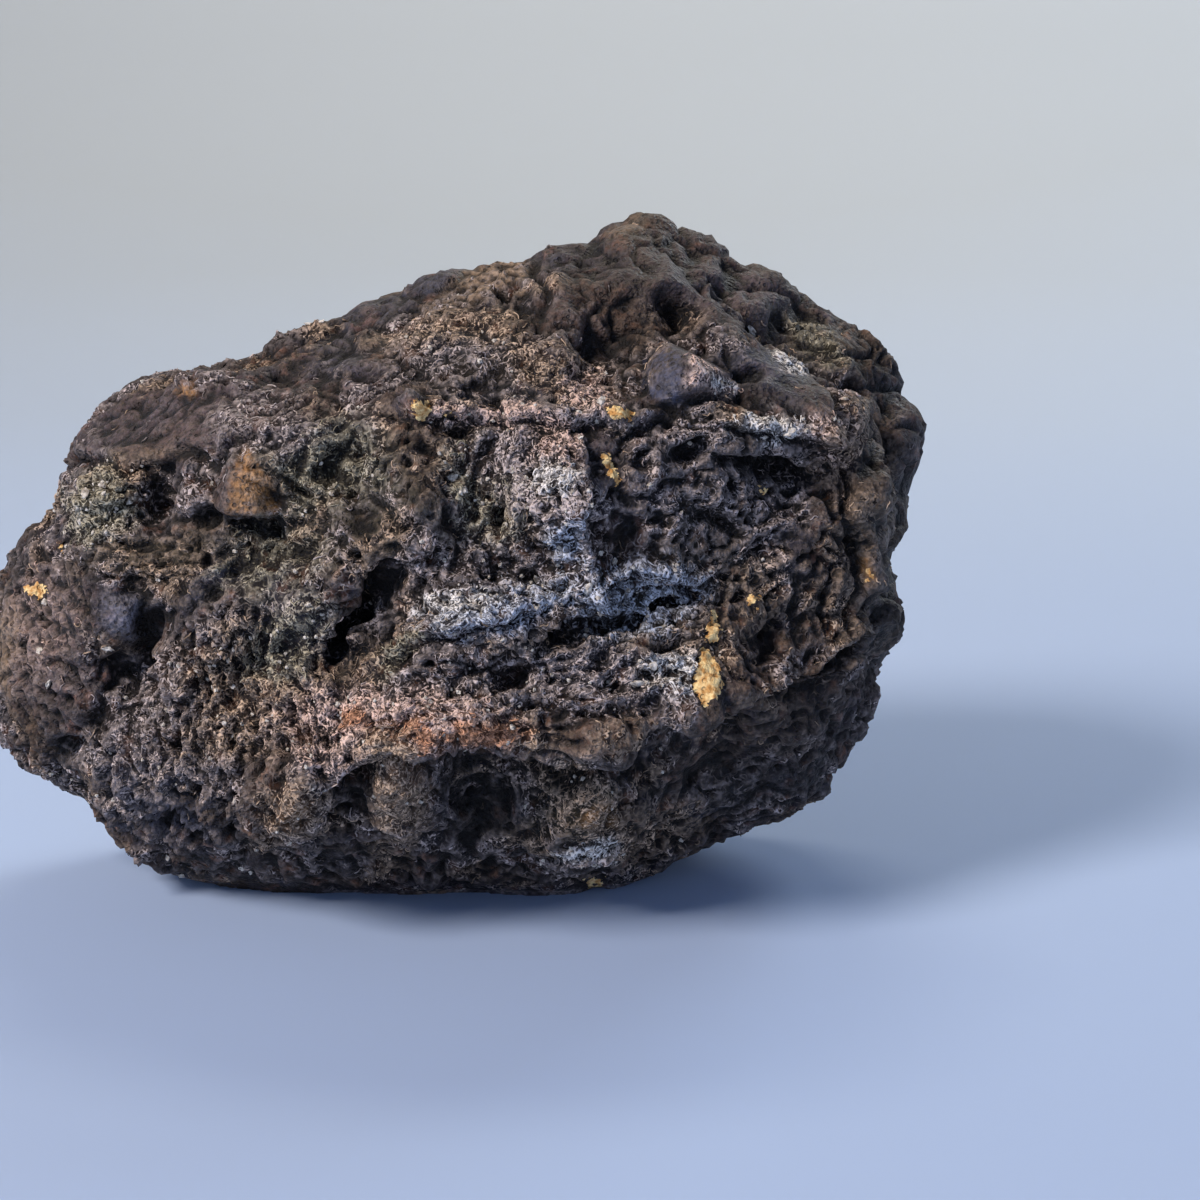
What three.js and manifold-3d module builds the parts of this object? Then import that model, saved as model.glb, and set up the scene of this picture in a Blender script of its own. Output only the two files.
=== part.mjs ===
// A rough, unopened geode, lying on a table: one nodule of dark, pitted stone, as heavy as it looks.
// It is described as it is seen from the front, slightly from above. Every place on it is then given in
// millimetres as [across, up, away]: across to the right and up from the middle of the stone, as the eye sees
// them, and away from the eye. Only at the very end is that turned into the upright frame, +Z up.
import * as THREE from 'three';
import { ImprovedNoise } from 'three/addons/math/ImprovedNoise.js';
import { mergeVertices } from 'three/addons/utils/BufferGeometryUtils.js';
import Module from 'manifold-3d';

// The eye: how far it is from the outline's plane, how steeply it looks down, and the point that it faces.
const EYE_DISTANCE = 450;
const EYE_DOWN = THREE.MathUtils.degToRad(12);
const EYE_FACES = { across: 28, up: -6 };

// Half the stone's reach in each direction, which spreads the surface's points evenly over it.
const REACH = { across: 92, up: 66, away: 60 };
const FRONT_SHARE = 0.2; // how much closer together the points lie in front than behind
const FINENESS = 21; // each of the icosahedron's 20 faces becomes (FINENESS + 1) squared triangles

// How far the middle of the front and of the back stand out from the outline's plane.
const FRONT_POLE = 53;
const BACK_POLE = 62;
const ROUNDNESS = 0.3; // 0 keeps the straight slopes between the lines below, 1 gives a plain egg
const EGG_POWER = 2.3;

// The outline, clockwise from the left tip, as [across, up].
const OUTLINE = [
  [-94.4, -14], [-93.6, -4], [-91, 3], [-85.6, 8.8], [-81.8, 11.6], [-80.8, 18], [-77.6, 24.4], [-75, 29.6],
  [-72, 34.2], [-66.4, 36.4], [-58.8, 37.4], [-51.2, 39.8], [-41, 43.2], [-37, 47.2], [-30.8, 50], [-24, 50.6],
  [-17.4, 53.2], [-10.4, 55.8], [-5.6, 58.8], [-1, 59.8], [3.6, 60.2], [10, 62], [14.2, 62.4], [18, 64.6],
  [26, 64.8], [28.8, 68.2], [33, 70.4], [38.8, 71], [43, 69.6], [46, 66.8], [51.2, 65.2], [55.2, 62.4],
  [62, 60.4], [70.2, 54.2], [76.4, 49.4], [85.2, 46.2], [88, 42], [88.4, 34], [91, 27.6], [91.7, 23.6],
  [90, 18.8], [89.4, 10.2], [87.6, 6], [84.8, 2.8], [86.6, -2.4], [88.2, -9], [88, -13.4], [85.2, -18.8],
  [81.8, -22], [82.6, -26.8], [80.8, -33], [76, -42.6], [68.4, -47.4], [58, -50.8], [47.4, -56], [40, -61.6],
  [29.4, -64.2], [8, -65], [-17.6, -65.4], [-33.2, -65.8], [-44, -64.2], [-54.6, -62.2], [-63.6, -58.4],
  [-71.6, -52.2], [-76.4, -45.4], [-85.6, -41.4], [-92, -36], [-94.4, -26],
];

// The front shoulder, where the front turns into the top, the sides and the underside: the ledge above, the
// brow below. Each is [across, up, how far it stands out towards the eye].
const FRONT_SHOULDER = [
  [-75, -8, 26], [-70, 18, 27], [-56, 24, 31], [-40, 26, 38], [-22, 29, 43], [-10, 31.4, 46], [6, 31.6, 49],
  [24, 30.6, 50], [40, 29.4, 49], [56, 30, 44], [70, 27, 38], [80, 16, 29], [82, -4, 25], [78, -22, 27],
  [62, -24, 40], [48, -29, 47], [34, -33, 51], [16, -35.4, 53], [-4, -35, 54], [-24, -42, 47], [-46, -46, 36],
  [-64, -40, 27], [-74, -28, 23],
];

// The back shoulder, the same for the side that faces away.
const BACK_SHOULDER = [
  [-68, 2, 30], [-58, 26, 36], [-34, 37, 41], [-6, 44, 46], [20, 52, 38], [42, 54, 32], [66, 38, 38],
  [75, 16, 44], [76, -10, 38], [66, -30, 40], [44, -44, 38], [18, -51, 34], [-14, -52, 35], [-42, -49, 33],
  [-64, -36, 28], [-76, -20, 22],
];

// Forms of the front and of the back. at is [across, up], size is [half length, half width], turn is the
// length's angle in degrees from the across direction, and rise stands out, or sinks in if negative.
const FRONT_FORMS = [
  { name: 'central rib', at: [22, 15], size: [18, 7], turn: 96, rise: 4.5 },
  { name: 'bay beside the rib', at: [5, 13], size: [17, 8], turn: 62, rise: -5.5 },
  { name: 'left rib', at: [-10, 17], size: [15, 5.5], turn: 100, rise: 3 },
  { name: 'hollow left of that rib', at: [-26, 19], size: [8, 6], turn: 20, rise: -3.5 },
  { name: 'deep cleft', at: [-18, -11], size: [13, 7], turn: 60, rise: -9 },
  { name: 'lip over the cleft', at: [-28, -3], size: [13, 6], turn: 58, rise: 3 },
  { name: 'upper pale ridge', at: [12, -9], size: [22, 6.5], turn: 20, rise: 4.5 },
  { name: 'groove under that ridge', at: [36, -8], size: [17, 4.5], turn: 20, rise: -3.5 },
  { name: 'lower pale ridge', at: [40, -16], size: [18, 5.5], turn: 20, rise: 3 },
  { name: 'pocket below', at: [8, -20], size: [9, 5], turn: 18, rise: -3.5 },
  { name: 'brow', at: [0, -30], size: [27, 6.5], turn: -12, rise: 4.5 },
  { name: 'brow, right end', at: [46, -26], size: [22, 5], turn: 22, rise: 3.5 },
  { name: 'recess under the brow', at: [6, -45], size: [11, 9], turn: -60, rise: -8 },
  { name: 'long recess to the right', at: [44, -38], size: [26, 7], turn: 20, rise: -5.5 },
  { name: 'column beside the recess', at: [-12, -43], size: [14, 8], turn: 75, rise: 5.5 },
  { name: 'lump above the base', at: [27, -50], size: [14, 9], turn: 20, rise: 6 },
  { name: 'boss, lower left', at: [-34, -46], size: [12, 9], turn: 80, rise: 4 },
  { name: 'furrow beside the boss', at: [-46, -50], size: [14, 5], turn: 120, rise: -3 },
  { name: 'left furrow', at: [-65, -18], size: [14, 5.5], turn: 84, rise: -6 },
  { name: 'knob left of the furrow', at: [-73, -12], size: [10, 6], turn: 80, rise: 3 },
  { name: 'rounded cheek', at: [-74, 15], size: [9, 8], turn: 70, rise: 3 },
  { name: 'hollow beside the cheek', at: [-61, 14], size: [10, 5.5], turn: 75, rise: -4.5 },
  { name: 'ochre boss', at: [-42, 18], size: [9, 7], turn: 60, rise: 4 },
  { name: 'hollow under the boss', at: [-38, 4], size: [13, 6.5], turn: 10, rise: -4.5 },
  { name: 'slanting swell', at: [-46, -8], size: [16, 6.5], turn: 28, rise: 3.5 },
  { name: 'dip below the swell', at: [-45, -22], size: [18, 6.5], turn: 35, rise: -3 },
  { name: 'block on the roof', at: [43, 39], size: [9, 6], turn: -12, rise: 4 },
  { name: 'long fold on the roof', at: [62, 42], size: [22, 7], turn: -34, rise: 4.5 },
  { name: 'hollow left of the fold', at: [30, 45], size: [12, 8], turn: 60, rise: -5 },
  { name: 'summit swell', at: [41, 58], size: [13, 8], turn: -20, rise: 3.5 },
  { name: 'shadow under the right ledge', at: [66, 17], size: [15, 6], turn: -8, rise: -4.5 },
  { name: 'roof, left swell', at: [-50, 31], size: [17, 6], turn: 12, rise: 2.5 },
  { name: 'roof, middle dip', at: [-30, 38], size: [12, 6], turn: 25, rise: -2.5 },
  { name: 'roof, middle swell', at: [2, 44], size: [14, 7], turn: 15, rise: 3 },
];

const BACK_FORMS = [
  { name: 'broad swell', at: [-34, -6], size: [30, 20], turn: 25, rise: 7 },
  { name: 'second swell', at: [40, 8], size: [24, 16], turn: -30, rise: 6 },
  { name: 'trough between them', at: [4, 4], size: [38, 10], turn: 66, rise: -8 },
  { name: 'shelf', at: [-20, 28], size: [32, 9], turn: 10, rise: 5 },
  { name: 'groove under the shelf', at: [-24, 15], size: [30, 7], turn: 8, rise: -5 },
  { name: 'deep pocket', at: [24, -18], size: [12, 9], turn: 40, rise: -8 },
  { name: 'lump by the base', at: [-8, -34], size: [18, 11], turn: -10, rise: 6 },
  { name: 'hollow, right', at: [56, -16], size: [13, 9], turn: 70, rise: -6 },
  { name: 'right knob', at: [58, 28], size: [12, 10], turn: 30, rise: 4 },
  { name: 'left furrow', at: [-60, -12], size: [20, 7], turn: 100, rise: -5 },
  { name: 'left knob', at: [-66, 8], size: [11, 9], turn: 60, rise: 4 },
  { name: 'ridge near the summit', at: [30, 40], size: [20, 8], turn: -20, rise: 4 },
];

// Lumps all over: each layer has a size and a height.
const LUMPS = [
  { size: 26, height: 3.2 },
  { size: 12, height: 2.4 },
  { size: 6.5, height: 1 },
];
const EDGE_SHARE = 0.3; // how much of the lumps' height is left at the outline, which has its own bumps
const WOBBLE = 0.3; // radians that the outline's bumps wander sideways on their way to front and back
const WOBBLE_SIZE = 34;

// Lobes that swell like overlapping scales on the right-hand side, from LOBES_FROM across.
const LOBE_SIZE = 17;
const LOBE_HEIGHT = 5.5;
const LOBES_FROM = 62;

// Round pits where bubbles and crumbs have weathered out: each cell of space holds one in so many cases.
const PIT_CELL = 17;
const PIT_REACH = 4.6;
const PIT_DEPTH = 3;
const PIT_CHANCE = 0.75;

// The stone rests on a worn flat, cut this far below the middle.
const REST_BELOW = 62.4;
const BOX_MIDDLE = { x: -1.1, y: 0.3 }; // where the middle of its box lies from the eye's middle
const CUTTER = 400; // the side of the block that cuts the flat, larger than the stone

const noise = new ImprovedNoise();
const smooth = THREE.MathUtils.smoothstep;
const FULL_TURN = 2 * Math.PI;

// A closed line around the middle, read by its angle: at(angle) gives [distance from the middle, depth].
function lineAround(points) {
  const stops = points
    .map(([across, up, depth = 0]) => ({
      angle: Math.atan2(up, across),
      values: [Math.hypot(across, up), depth],
    }))
    .sort((a, b) => a.angle - b.angle);
  const count = stops.length;
  const stop = (i) => stops[((i % count) + count) % count];
  return (angle) => {
    let after = stops.findIndex((s) => s.angle > angle);
    if (after < 0) after = count;
    const before = stop(after - 1);
    const span = (stop(after).angle - before.angle + FULL_TURN) % FULL_TURN;
    const t = ((angle - before.angle + FULL_TURN) % FULL_TURN) / span;
    return before.values.map((value, k) => {
      const next = stop(after).values[k];
      const pull = (next - stop(after - 2).values[k]) / 2;
      const push = (stop(after + 1).values[k] - value) / 2;
      const curved = hermite(value, next, pull, push, t);
      const straight = value + (next - value) * t;
      return (curved + straight) / 2;
    });
  };
}

function hermite(from, to, leaving, arriving, t) {
  const t2 = t * t;
  const t3 = t2 * t;
  return (
    from * (2 * t3 - 3 * t2 + 1) + leaving * (t3 - 2 * t2 + t) + to * (3 * t2 - 2 * t3) + arriving * (t3 - t2)
  );
}

const outlineAt = lineAround(OUTLINE);
const frontShoulderAt = lineAround(FRONT_SHOULDER);
const backShoulderAt = lineAround(BACK_SHOULDER);

// Where a ray at slope [out, depth] from the middle meets the straight line between two points of a profile.
function meet(ray, near, far) {
  const step = [far[0] - near[0], far[1] - near[1]];
  return (near[0] * step[1] - near[1] * step[0]) / (ray[0] * step[1] - ray[1] * step[0]);
}

// Distance from the middle to the bare stone in a direction: straight slopes from pole to shoulder to
// outline, softened by an egg through the same outline and pole.
function bareReach(direction) {
  const angle = Math.atan2(direction.y, direction.x);
  const out = Math.hypot(direction.x, direction.y);
  const depth = Math.abs(direction.z);
  const front = direction.z < 0;
  const far = direction.clone().multiplyScalar(REACH.across / WOBBLE_SIZE);
  const wander = WOBBLE * noise.noise(far.x, far.y, far.z) * smooth(depth, 0, 0.5);
  const [edge] = outlineAt(angle + wander);
  const shoulder = front ? frontShoulderAt(angle) : backShoulderAt(angle);
  const pole = front ? FRONT_POLE : BACK_POLE;
  const ray = [out, depth];
  const insideShoulder = depth * shoulder[0] > shoulder[1] * out;
  const slopes = insideShoulder ? meet(ray, shoulder, [0, pole]) : meet(ray, [edge, 0], shoulder);
  const egg = ((out / edge) ** EGG_POWER + (depth / pole) ** EGG_POWER) ** (-1 / EGG_POWER);
  return THREE.MathUtils.lerp(slopes, egg, ROUNDNESS);
}

// How far the named forms stand out at a place, as seen.
function formsRise(forms, across, up) {
  let rise = 0;
  for (const form of forms) {
    const turn = THREE.MathUtils.degToRad(form.turn);
    const right = across - form.at[0];
    const above = up - form.at[1];
    const along = (right * Math.cos(turn) + above * Math.sin(turn)) / form.size[0];
    const beside = (above * Math.cos(turn) - right * Math.sin(turn)) / form.size[1];
    const far = Math.sqrt(along * along + beside * beside);
    rise += form.rise * (1 - smooth(far, 0.15, 1.35));
  }
  return rise;
}

// A repeatable number from 0 to 1 for a cell of space.
function chance(x, y, z, kind) {
  const mixed = Math.sin(x * 127.1 + y * 311.7 + z * 74.7 + kind * 53.3) * 43758.5453;
  return mixed - Math.floor(mixed);
}

// Walks the cells of space around a point and gives the distance to the nearest of their seeds, one seed to
// a cell. Cells whose number is above the share are empty.
function nearestSeed(point, size, share) {
  const cell = [point.x, point.y, point.z].map((v) => Math.floor(v / size));
  let nearest = Infinity;
  for (let i = -1; i <= 1; i++)
    for (let j = -1; j <= 1; j++)
      for (let k = -1; k <= 1; k++) {
        const at = [cell[0] + i, cell[1] + j, cell[2] + k];
        if (chance(at[0], at[1], at[2], 3) > share) continue;
        const seed = at.map((v, axis) => (v + chance(at[0], at[1], at[2], axis)) * size);
        nearest = Math.min(nearest, Math.hypot(point.x - seed[0], point.y - seed[1], point.z - seed[2]));
      }
  return nearest;
}

// Lumps, lobes and pits at a point of the bare stone.
function lumpsAt(point) {
  let height = 0;
  for (const { size, height: tall } of LUMPS)
    height += tall * noise.noise(point.x / size, point.y / size, point.z / size);
  const lobe = 1 - Math.min(1, nearestSeed(point, LOBE_SIZE, 1) / (0.8 * LOBE_SIZE)) ** 2;
  height += smooth(point.x, LOBES_FROM, LOBES_FROM + 12) * LOBE_HEIGHT * (lobe - 0.5);
  return height - PIT_DEPTH * (1 - smooth(nearestSeed(point, PIT_CELL, PIT_CHANCE), 0.2 * PIT_REACH, PIT_REACH));
}

// A point of the finished surface for a direction from the middle, as [across, up, away].
function surfacePoint(direction) {
  const point = direction.clone().multiplyScalar(bareReach(direction));
  const facing = Math.abs(direction.z);
  const lumps = lumpsAt(point) * THREE.MathUtils.lerp(EDGE_SHARE, 1, smooth(facing, 0, 0.3));
  point.addScaledVector(direction, lumps);
  const front = direction.z < 0;
  const rise = formsRise(front ? FRONT_FORMS : BACK_FORMS, point.x, point.y) * smooth(facing, 0.02, 0.28);
  point.z += front ? -rise : rise;
  return point;
}

// What the eye sees as [across, up] at a depth, put where it really is in the upright frame.
function upright(point) {
  const spread = (EYE_DISTANCE + point.z) / EYE_DISTANCE;
  const across = EYE_FACES.across + (point.x - EYE_FACES.across) * spread;
  const up = EYE_FACES.up + (point.y - EYE_FACES.up) * spread;
  return new THREE.Vector3(
    across,
    up * Math.sin(EYE_DOWN) + point.z * Math.cos(EYE_DOWN),
    up * Math.cos(EYE_DOWN) - point.z * Math.sin(EYE_DOWN),
  );
}

// The whole stone, before its flat is cut: a fine icosahedron with every corner moved to the surface.
function stoneGeometry() {
  const geometry = new THREE.IcosahedronGeometry(1, FINENESS);
  const corners = geometry.getAttribute('position');
  const direction = new THREE.Vector3();
  for (let i = 0; i < corners.count; i++) {
    direction.fromBufferAttribute(corners, i);
    direction.set(
      direction.x * REACH.across,
      direction.y * REACH.up,
      (-direction.z - FRONT_SHARE) * REACH.away,
    );
    const place = upright(surfacePoint(direction.normalize()));
    corners.setXYZ(i, place.x, place.y, place.z);
  }
  return geometry;
}

const wasm = await Module();
wasm.setup();

function solidOf(geometry) {
  geometry.deleteAttribute('normal');
  geometry.deleteAttribute('uv');
  const merged = mergeVertices(geometry, 1e-3);
  return new wasm.Manifold(
    new wasm.Mesh({
      numProp: 3,
      vertProperties: merged.getAttribute('position').array,
      triVerts: new Uint32Array(merged.index.array),
    }),
  );
}

function geometryOf(solid) {
  const mesh = solid.getMesh();
  const geometry = new THREE.BufferGeometry();
  geometry.setAttribute('position', new THREE.BufferAttribute(mesh.vertProperties, 3));
  geometry.setIndex(new THREE.BufferAttribute(mesh.triVerts, 1));
  geometry.computeVertexNormals();
  return geometry;
}

// The stone on its flat, with the middle of its box over the origin.
function restingStone() {
  const below = new THREE.BoxGeometry(CUTTER, CUTTER, CUTTER).translate(0, 0, -REST_BELOW - CUTTER / 2);
  const geometry = geometryOf(solidOf(stoneGeometry()).subtract(solidOf(below)));
  return geometry.translate(-BOX_MIDDLE.x, -BOX_MIDDLE.y, REST_BELOW);
}

const stone = new THREE.MeshStandardMaterial({ color: 0x3a322e, roughness: 0.92, metalness: 0 });

const geode = new THREE.Mesh(restingStone(), stone);
geode.name = 'geode';

const part = new THREE.Group();
part.add(geode);

export default part;
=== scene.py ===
# A rough geode that was never opened: one dark, pitted nodule of stone, about 187 mm long, with a
# pale, worm-like crust over much of it. It lies on its worn flat. Lengths are in millimetres until a mesh
# is made, which is in metres.
import math

import bmesh
import bpy
import numpy as np
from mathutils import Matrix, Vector
from mathutils.bvhtree import BVHTree


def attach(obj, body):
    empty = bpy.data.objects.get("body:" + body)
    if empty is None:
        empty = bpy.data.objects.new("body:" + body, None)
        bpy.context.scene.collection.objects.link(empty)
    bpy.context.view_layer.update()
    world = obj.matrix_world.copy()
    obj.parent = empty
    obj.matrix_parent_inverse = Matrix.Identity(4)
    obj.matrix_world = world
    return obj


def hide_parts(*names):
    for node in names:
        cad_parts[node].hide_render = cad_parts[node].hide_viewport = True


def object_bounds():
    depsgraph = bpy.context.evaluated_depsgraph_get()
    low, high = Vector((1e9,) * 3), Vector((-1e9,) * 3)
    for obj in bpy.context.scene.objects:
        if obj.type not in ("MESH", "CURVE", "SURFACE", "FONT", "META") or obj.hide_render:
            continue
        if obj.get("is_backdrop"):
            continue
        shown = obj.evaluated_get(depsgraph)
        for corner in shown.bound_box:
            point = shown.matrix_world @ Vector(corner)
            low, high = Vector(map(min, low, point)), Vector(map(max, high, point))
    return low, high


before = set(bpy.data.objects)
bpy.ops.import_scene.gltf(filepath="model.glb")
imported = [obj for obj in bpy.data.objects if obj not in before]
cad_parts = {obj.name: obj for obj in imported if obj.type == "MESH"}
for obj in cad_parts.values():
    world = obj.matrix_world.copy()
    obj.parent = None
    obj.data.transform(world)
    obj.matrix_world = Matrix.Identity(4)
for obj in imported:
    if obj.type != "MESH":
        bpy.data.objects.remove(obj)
solid_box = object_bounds()

# The view: the eye is 450 mm from the stone's outline and looks down by 12 degrees, as in the photograph.
# Places on the stone are noted as that eye sees them: across, up, and away from the outline's plane.
LOOKS_DOWN = math.radians(12)
EYE_DISTANCE = 450.0
FACES = (28.0, -6.0)  # the spot in the outline's plane that the eye faces
MIDDLE = np.array((1.1, -0.3, 62.4))
RIGHT = np.array((1.0, 0.0, 0.0))
UP = np.array((0.0, math.sin(LOOKS_DOWN), math.cos(LOOKS_DOWN)))
AWAY = np.array((0.0, math.cos(LOOKS_DOWN), -math.sin(LOOKS_DOWN)))
VIEW_WIDTH = 240.0
FILM_WIDTH = 36.0

eye_place = MIDDLE + FACES[0] * RIGHT + FACES[1] * UP - EYE_DISTANCE * AWAY
eye_data = bpy.data.cameras.new("eye")
eye_data.sensor_width = FILM_WIDTH
eye_data.lens = FILM_WIDTH * EYE_DISTANCE / VIEW_WIDTH
eye_data.clip_start = 0.01
eye = bpy.data.objects.new("eye", eye_data)
eye.location = eye_place / 1000
eye.rotation_euler = (math.pi / 2 - LOOKS_DOWN, 0, 0)
bpy.context.collection.objects.link(eye)
bpy.context.scene.camera = eye


# The light: a soft window lamp high on the left and a little in front, a weak far lamp behind on the
# right, one lamp for the far rise of the floor alone, and the pale air of a bright room.
def soft_lamp(name, place, target, size, watts, colour):
    data = bpy.data.lights.new(name, "AREA")
    data.shape = "DISK"
    data.size = size
    data.energy = watts
    data.color = colour
    lamp = bpy.data.objects.new(name, data)
    lamp.location = place
    lamp.rotation_euler = (Vector(target) - lamp.location).to_track_quat("-Z", "Y").to_euler()
    bpy.context.collection.objects.link(lamp)


soft_lamp("window lamp", (-0.86, -0.72, 0.96), (0, 0, 0.06), 0.5, 20.8, (1.0, 0.885, 0.8))
soft_lamp("far lamp", (0.75, 1.05, 0.9), (0, 0, 0.06), 0.6, 7, (0.9, 0.95, 1.0))
soft_lamp("backdrop lamp", (0.1, 0.9, 1.3), (0.1, 1.45, 0.45), 0.7, 14, (1.0, 0.88, 0.7))

room = bpy.data.worlds.new("bright room")
room.use_nodes = True
room.node_tree.nodes["Background"].inputs["Color"].default_value = (0.74, 0.73, 0.78, 1)
room.node_tree.nodes["Background"].inputs["Strength"].default_value = 0.092
bpy.context.scene.world = room
bpy.context.scene.view_settings.view_transform = "Standard"


# The floor: a plain pale dish of paper, flat under the stone and rising softly far behind it. Its
# colour goes from light blue in front to grey at the back: painted light.
def linear(red, green, blue):
    """A colour as it is named on a paint chart, 0 to 255, in the light's own measure."""
    shares = [value / 255 for value in (red, green, blue)]
    return [s / 12.92 if s <= 0.04045 else ((s + 0.055) / 1.055) ** 2.4 for s in shares]


# The dish's profile: how far from its middle and how high, in metres.
DISH = ((0, 0), (0.45, 0), (0.7, 0.01), (0.95, 0.06), (1.2, 0.2), (1.38, 0.45), (1.45, 0.8), (1.46, 1.6))
DISH_SIDES = 96
dish_points = [(0.0, 0.0, 0.0)]
for radius, height in DISH[1:]:
    for side in range(DISH_SIDES):
        turn = 2 * math.pi * side / DISH_SIDES
        dish_points.append((radius * math.cos(turn), radius * math.sin(turn), height))
dish_faces = [(0, 1 + side, 1 + (side + 1) % DISH_SIDES) for side in range(DISH_SIDES)]
for ring in range(len(DISH) - 2):
    for side in range(DISH_SIDES):
        here = 1 + ring * DISH_SIDES + side
        beside = 1 + ring * DISH_SIDES + (side + 1) % DISH_SIDES
        dish_faces.append((here, here + DISH_SIDES, beside + DISH_SIDES, beside))
dish_mesh = bpy.data.meshes.new("floor")
dish_mesh.from_pydata(dish_points, [], dish_faces)
dish_mesh.shade_smooth()
paper = bpy.data.materials.new("pale paper")
paper.use_nodes = True
paper_shader = paper.node_tree.nodes["Principled BSDF"]
paper_shader.inputs["Roughness"].default_value = 0.9
paper_place = paper.node_tree.nodes.new("ShaderNodeTexCoord")
paper_axes = paper.node_tree.nodes.new("ShaderNodeSeparateXYZ")
# Painted light: light blue in front, grey at the back.
paper_fade = paper.node_tree.nodes.new("ShaderNodeValToRGB")
paper_fade.color_ramp.elements[0].position = 0.0
paper_fade.color_ramp.elements[0].color = (*linear(168, 189, 223), 1)
paper_fade.color_ramp.elements[1].position = 1.0
paper_fade.color_ramp.elements[1].color = (*linear(153, 161, 170), 1)
paper.node_tree.links.new(paper_place.outputs["Object"], paper_axes.inputs[0])
paper.node_tree.links.new(paper_axes.outputs["Y"], paper_fade.inputs["Fac"])
paper.node_tree.links.new(paper_fade.outputs["Color"], paper_shader.inputs["Base Color"])
dish_mesh.materials.append(paper)
floor = bpy.data.objects.new("floor", dish_mesh)
bpy.context.collection.objects.link(floor)
floor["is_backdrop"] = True

# The stone's body: one solid nodule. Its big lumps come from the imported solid, drawn smooth, and time has
# cut the rest into them: ledges, clefts, pits and scales, each where it is seen on the front.
GRAIN = 0.7  # how far apart the surface's points lie before the back is thinned out
MOST_FACES = 196000
DEEPEST = -8.0  # how far time has cut in at most
HIGHEST = 5.0  # how far anything stands out at most
FLAT_BELOW = 0.6  # what is lower than this is worn flat
KEEP_STEPS = 4  # the steps in how firmly points are kept when the rest is thinned

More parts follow.
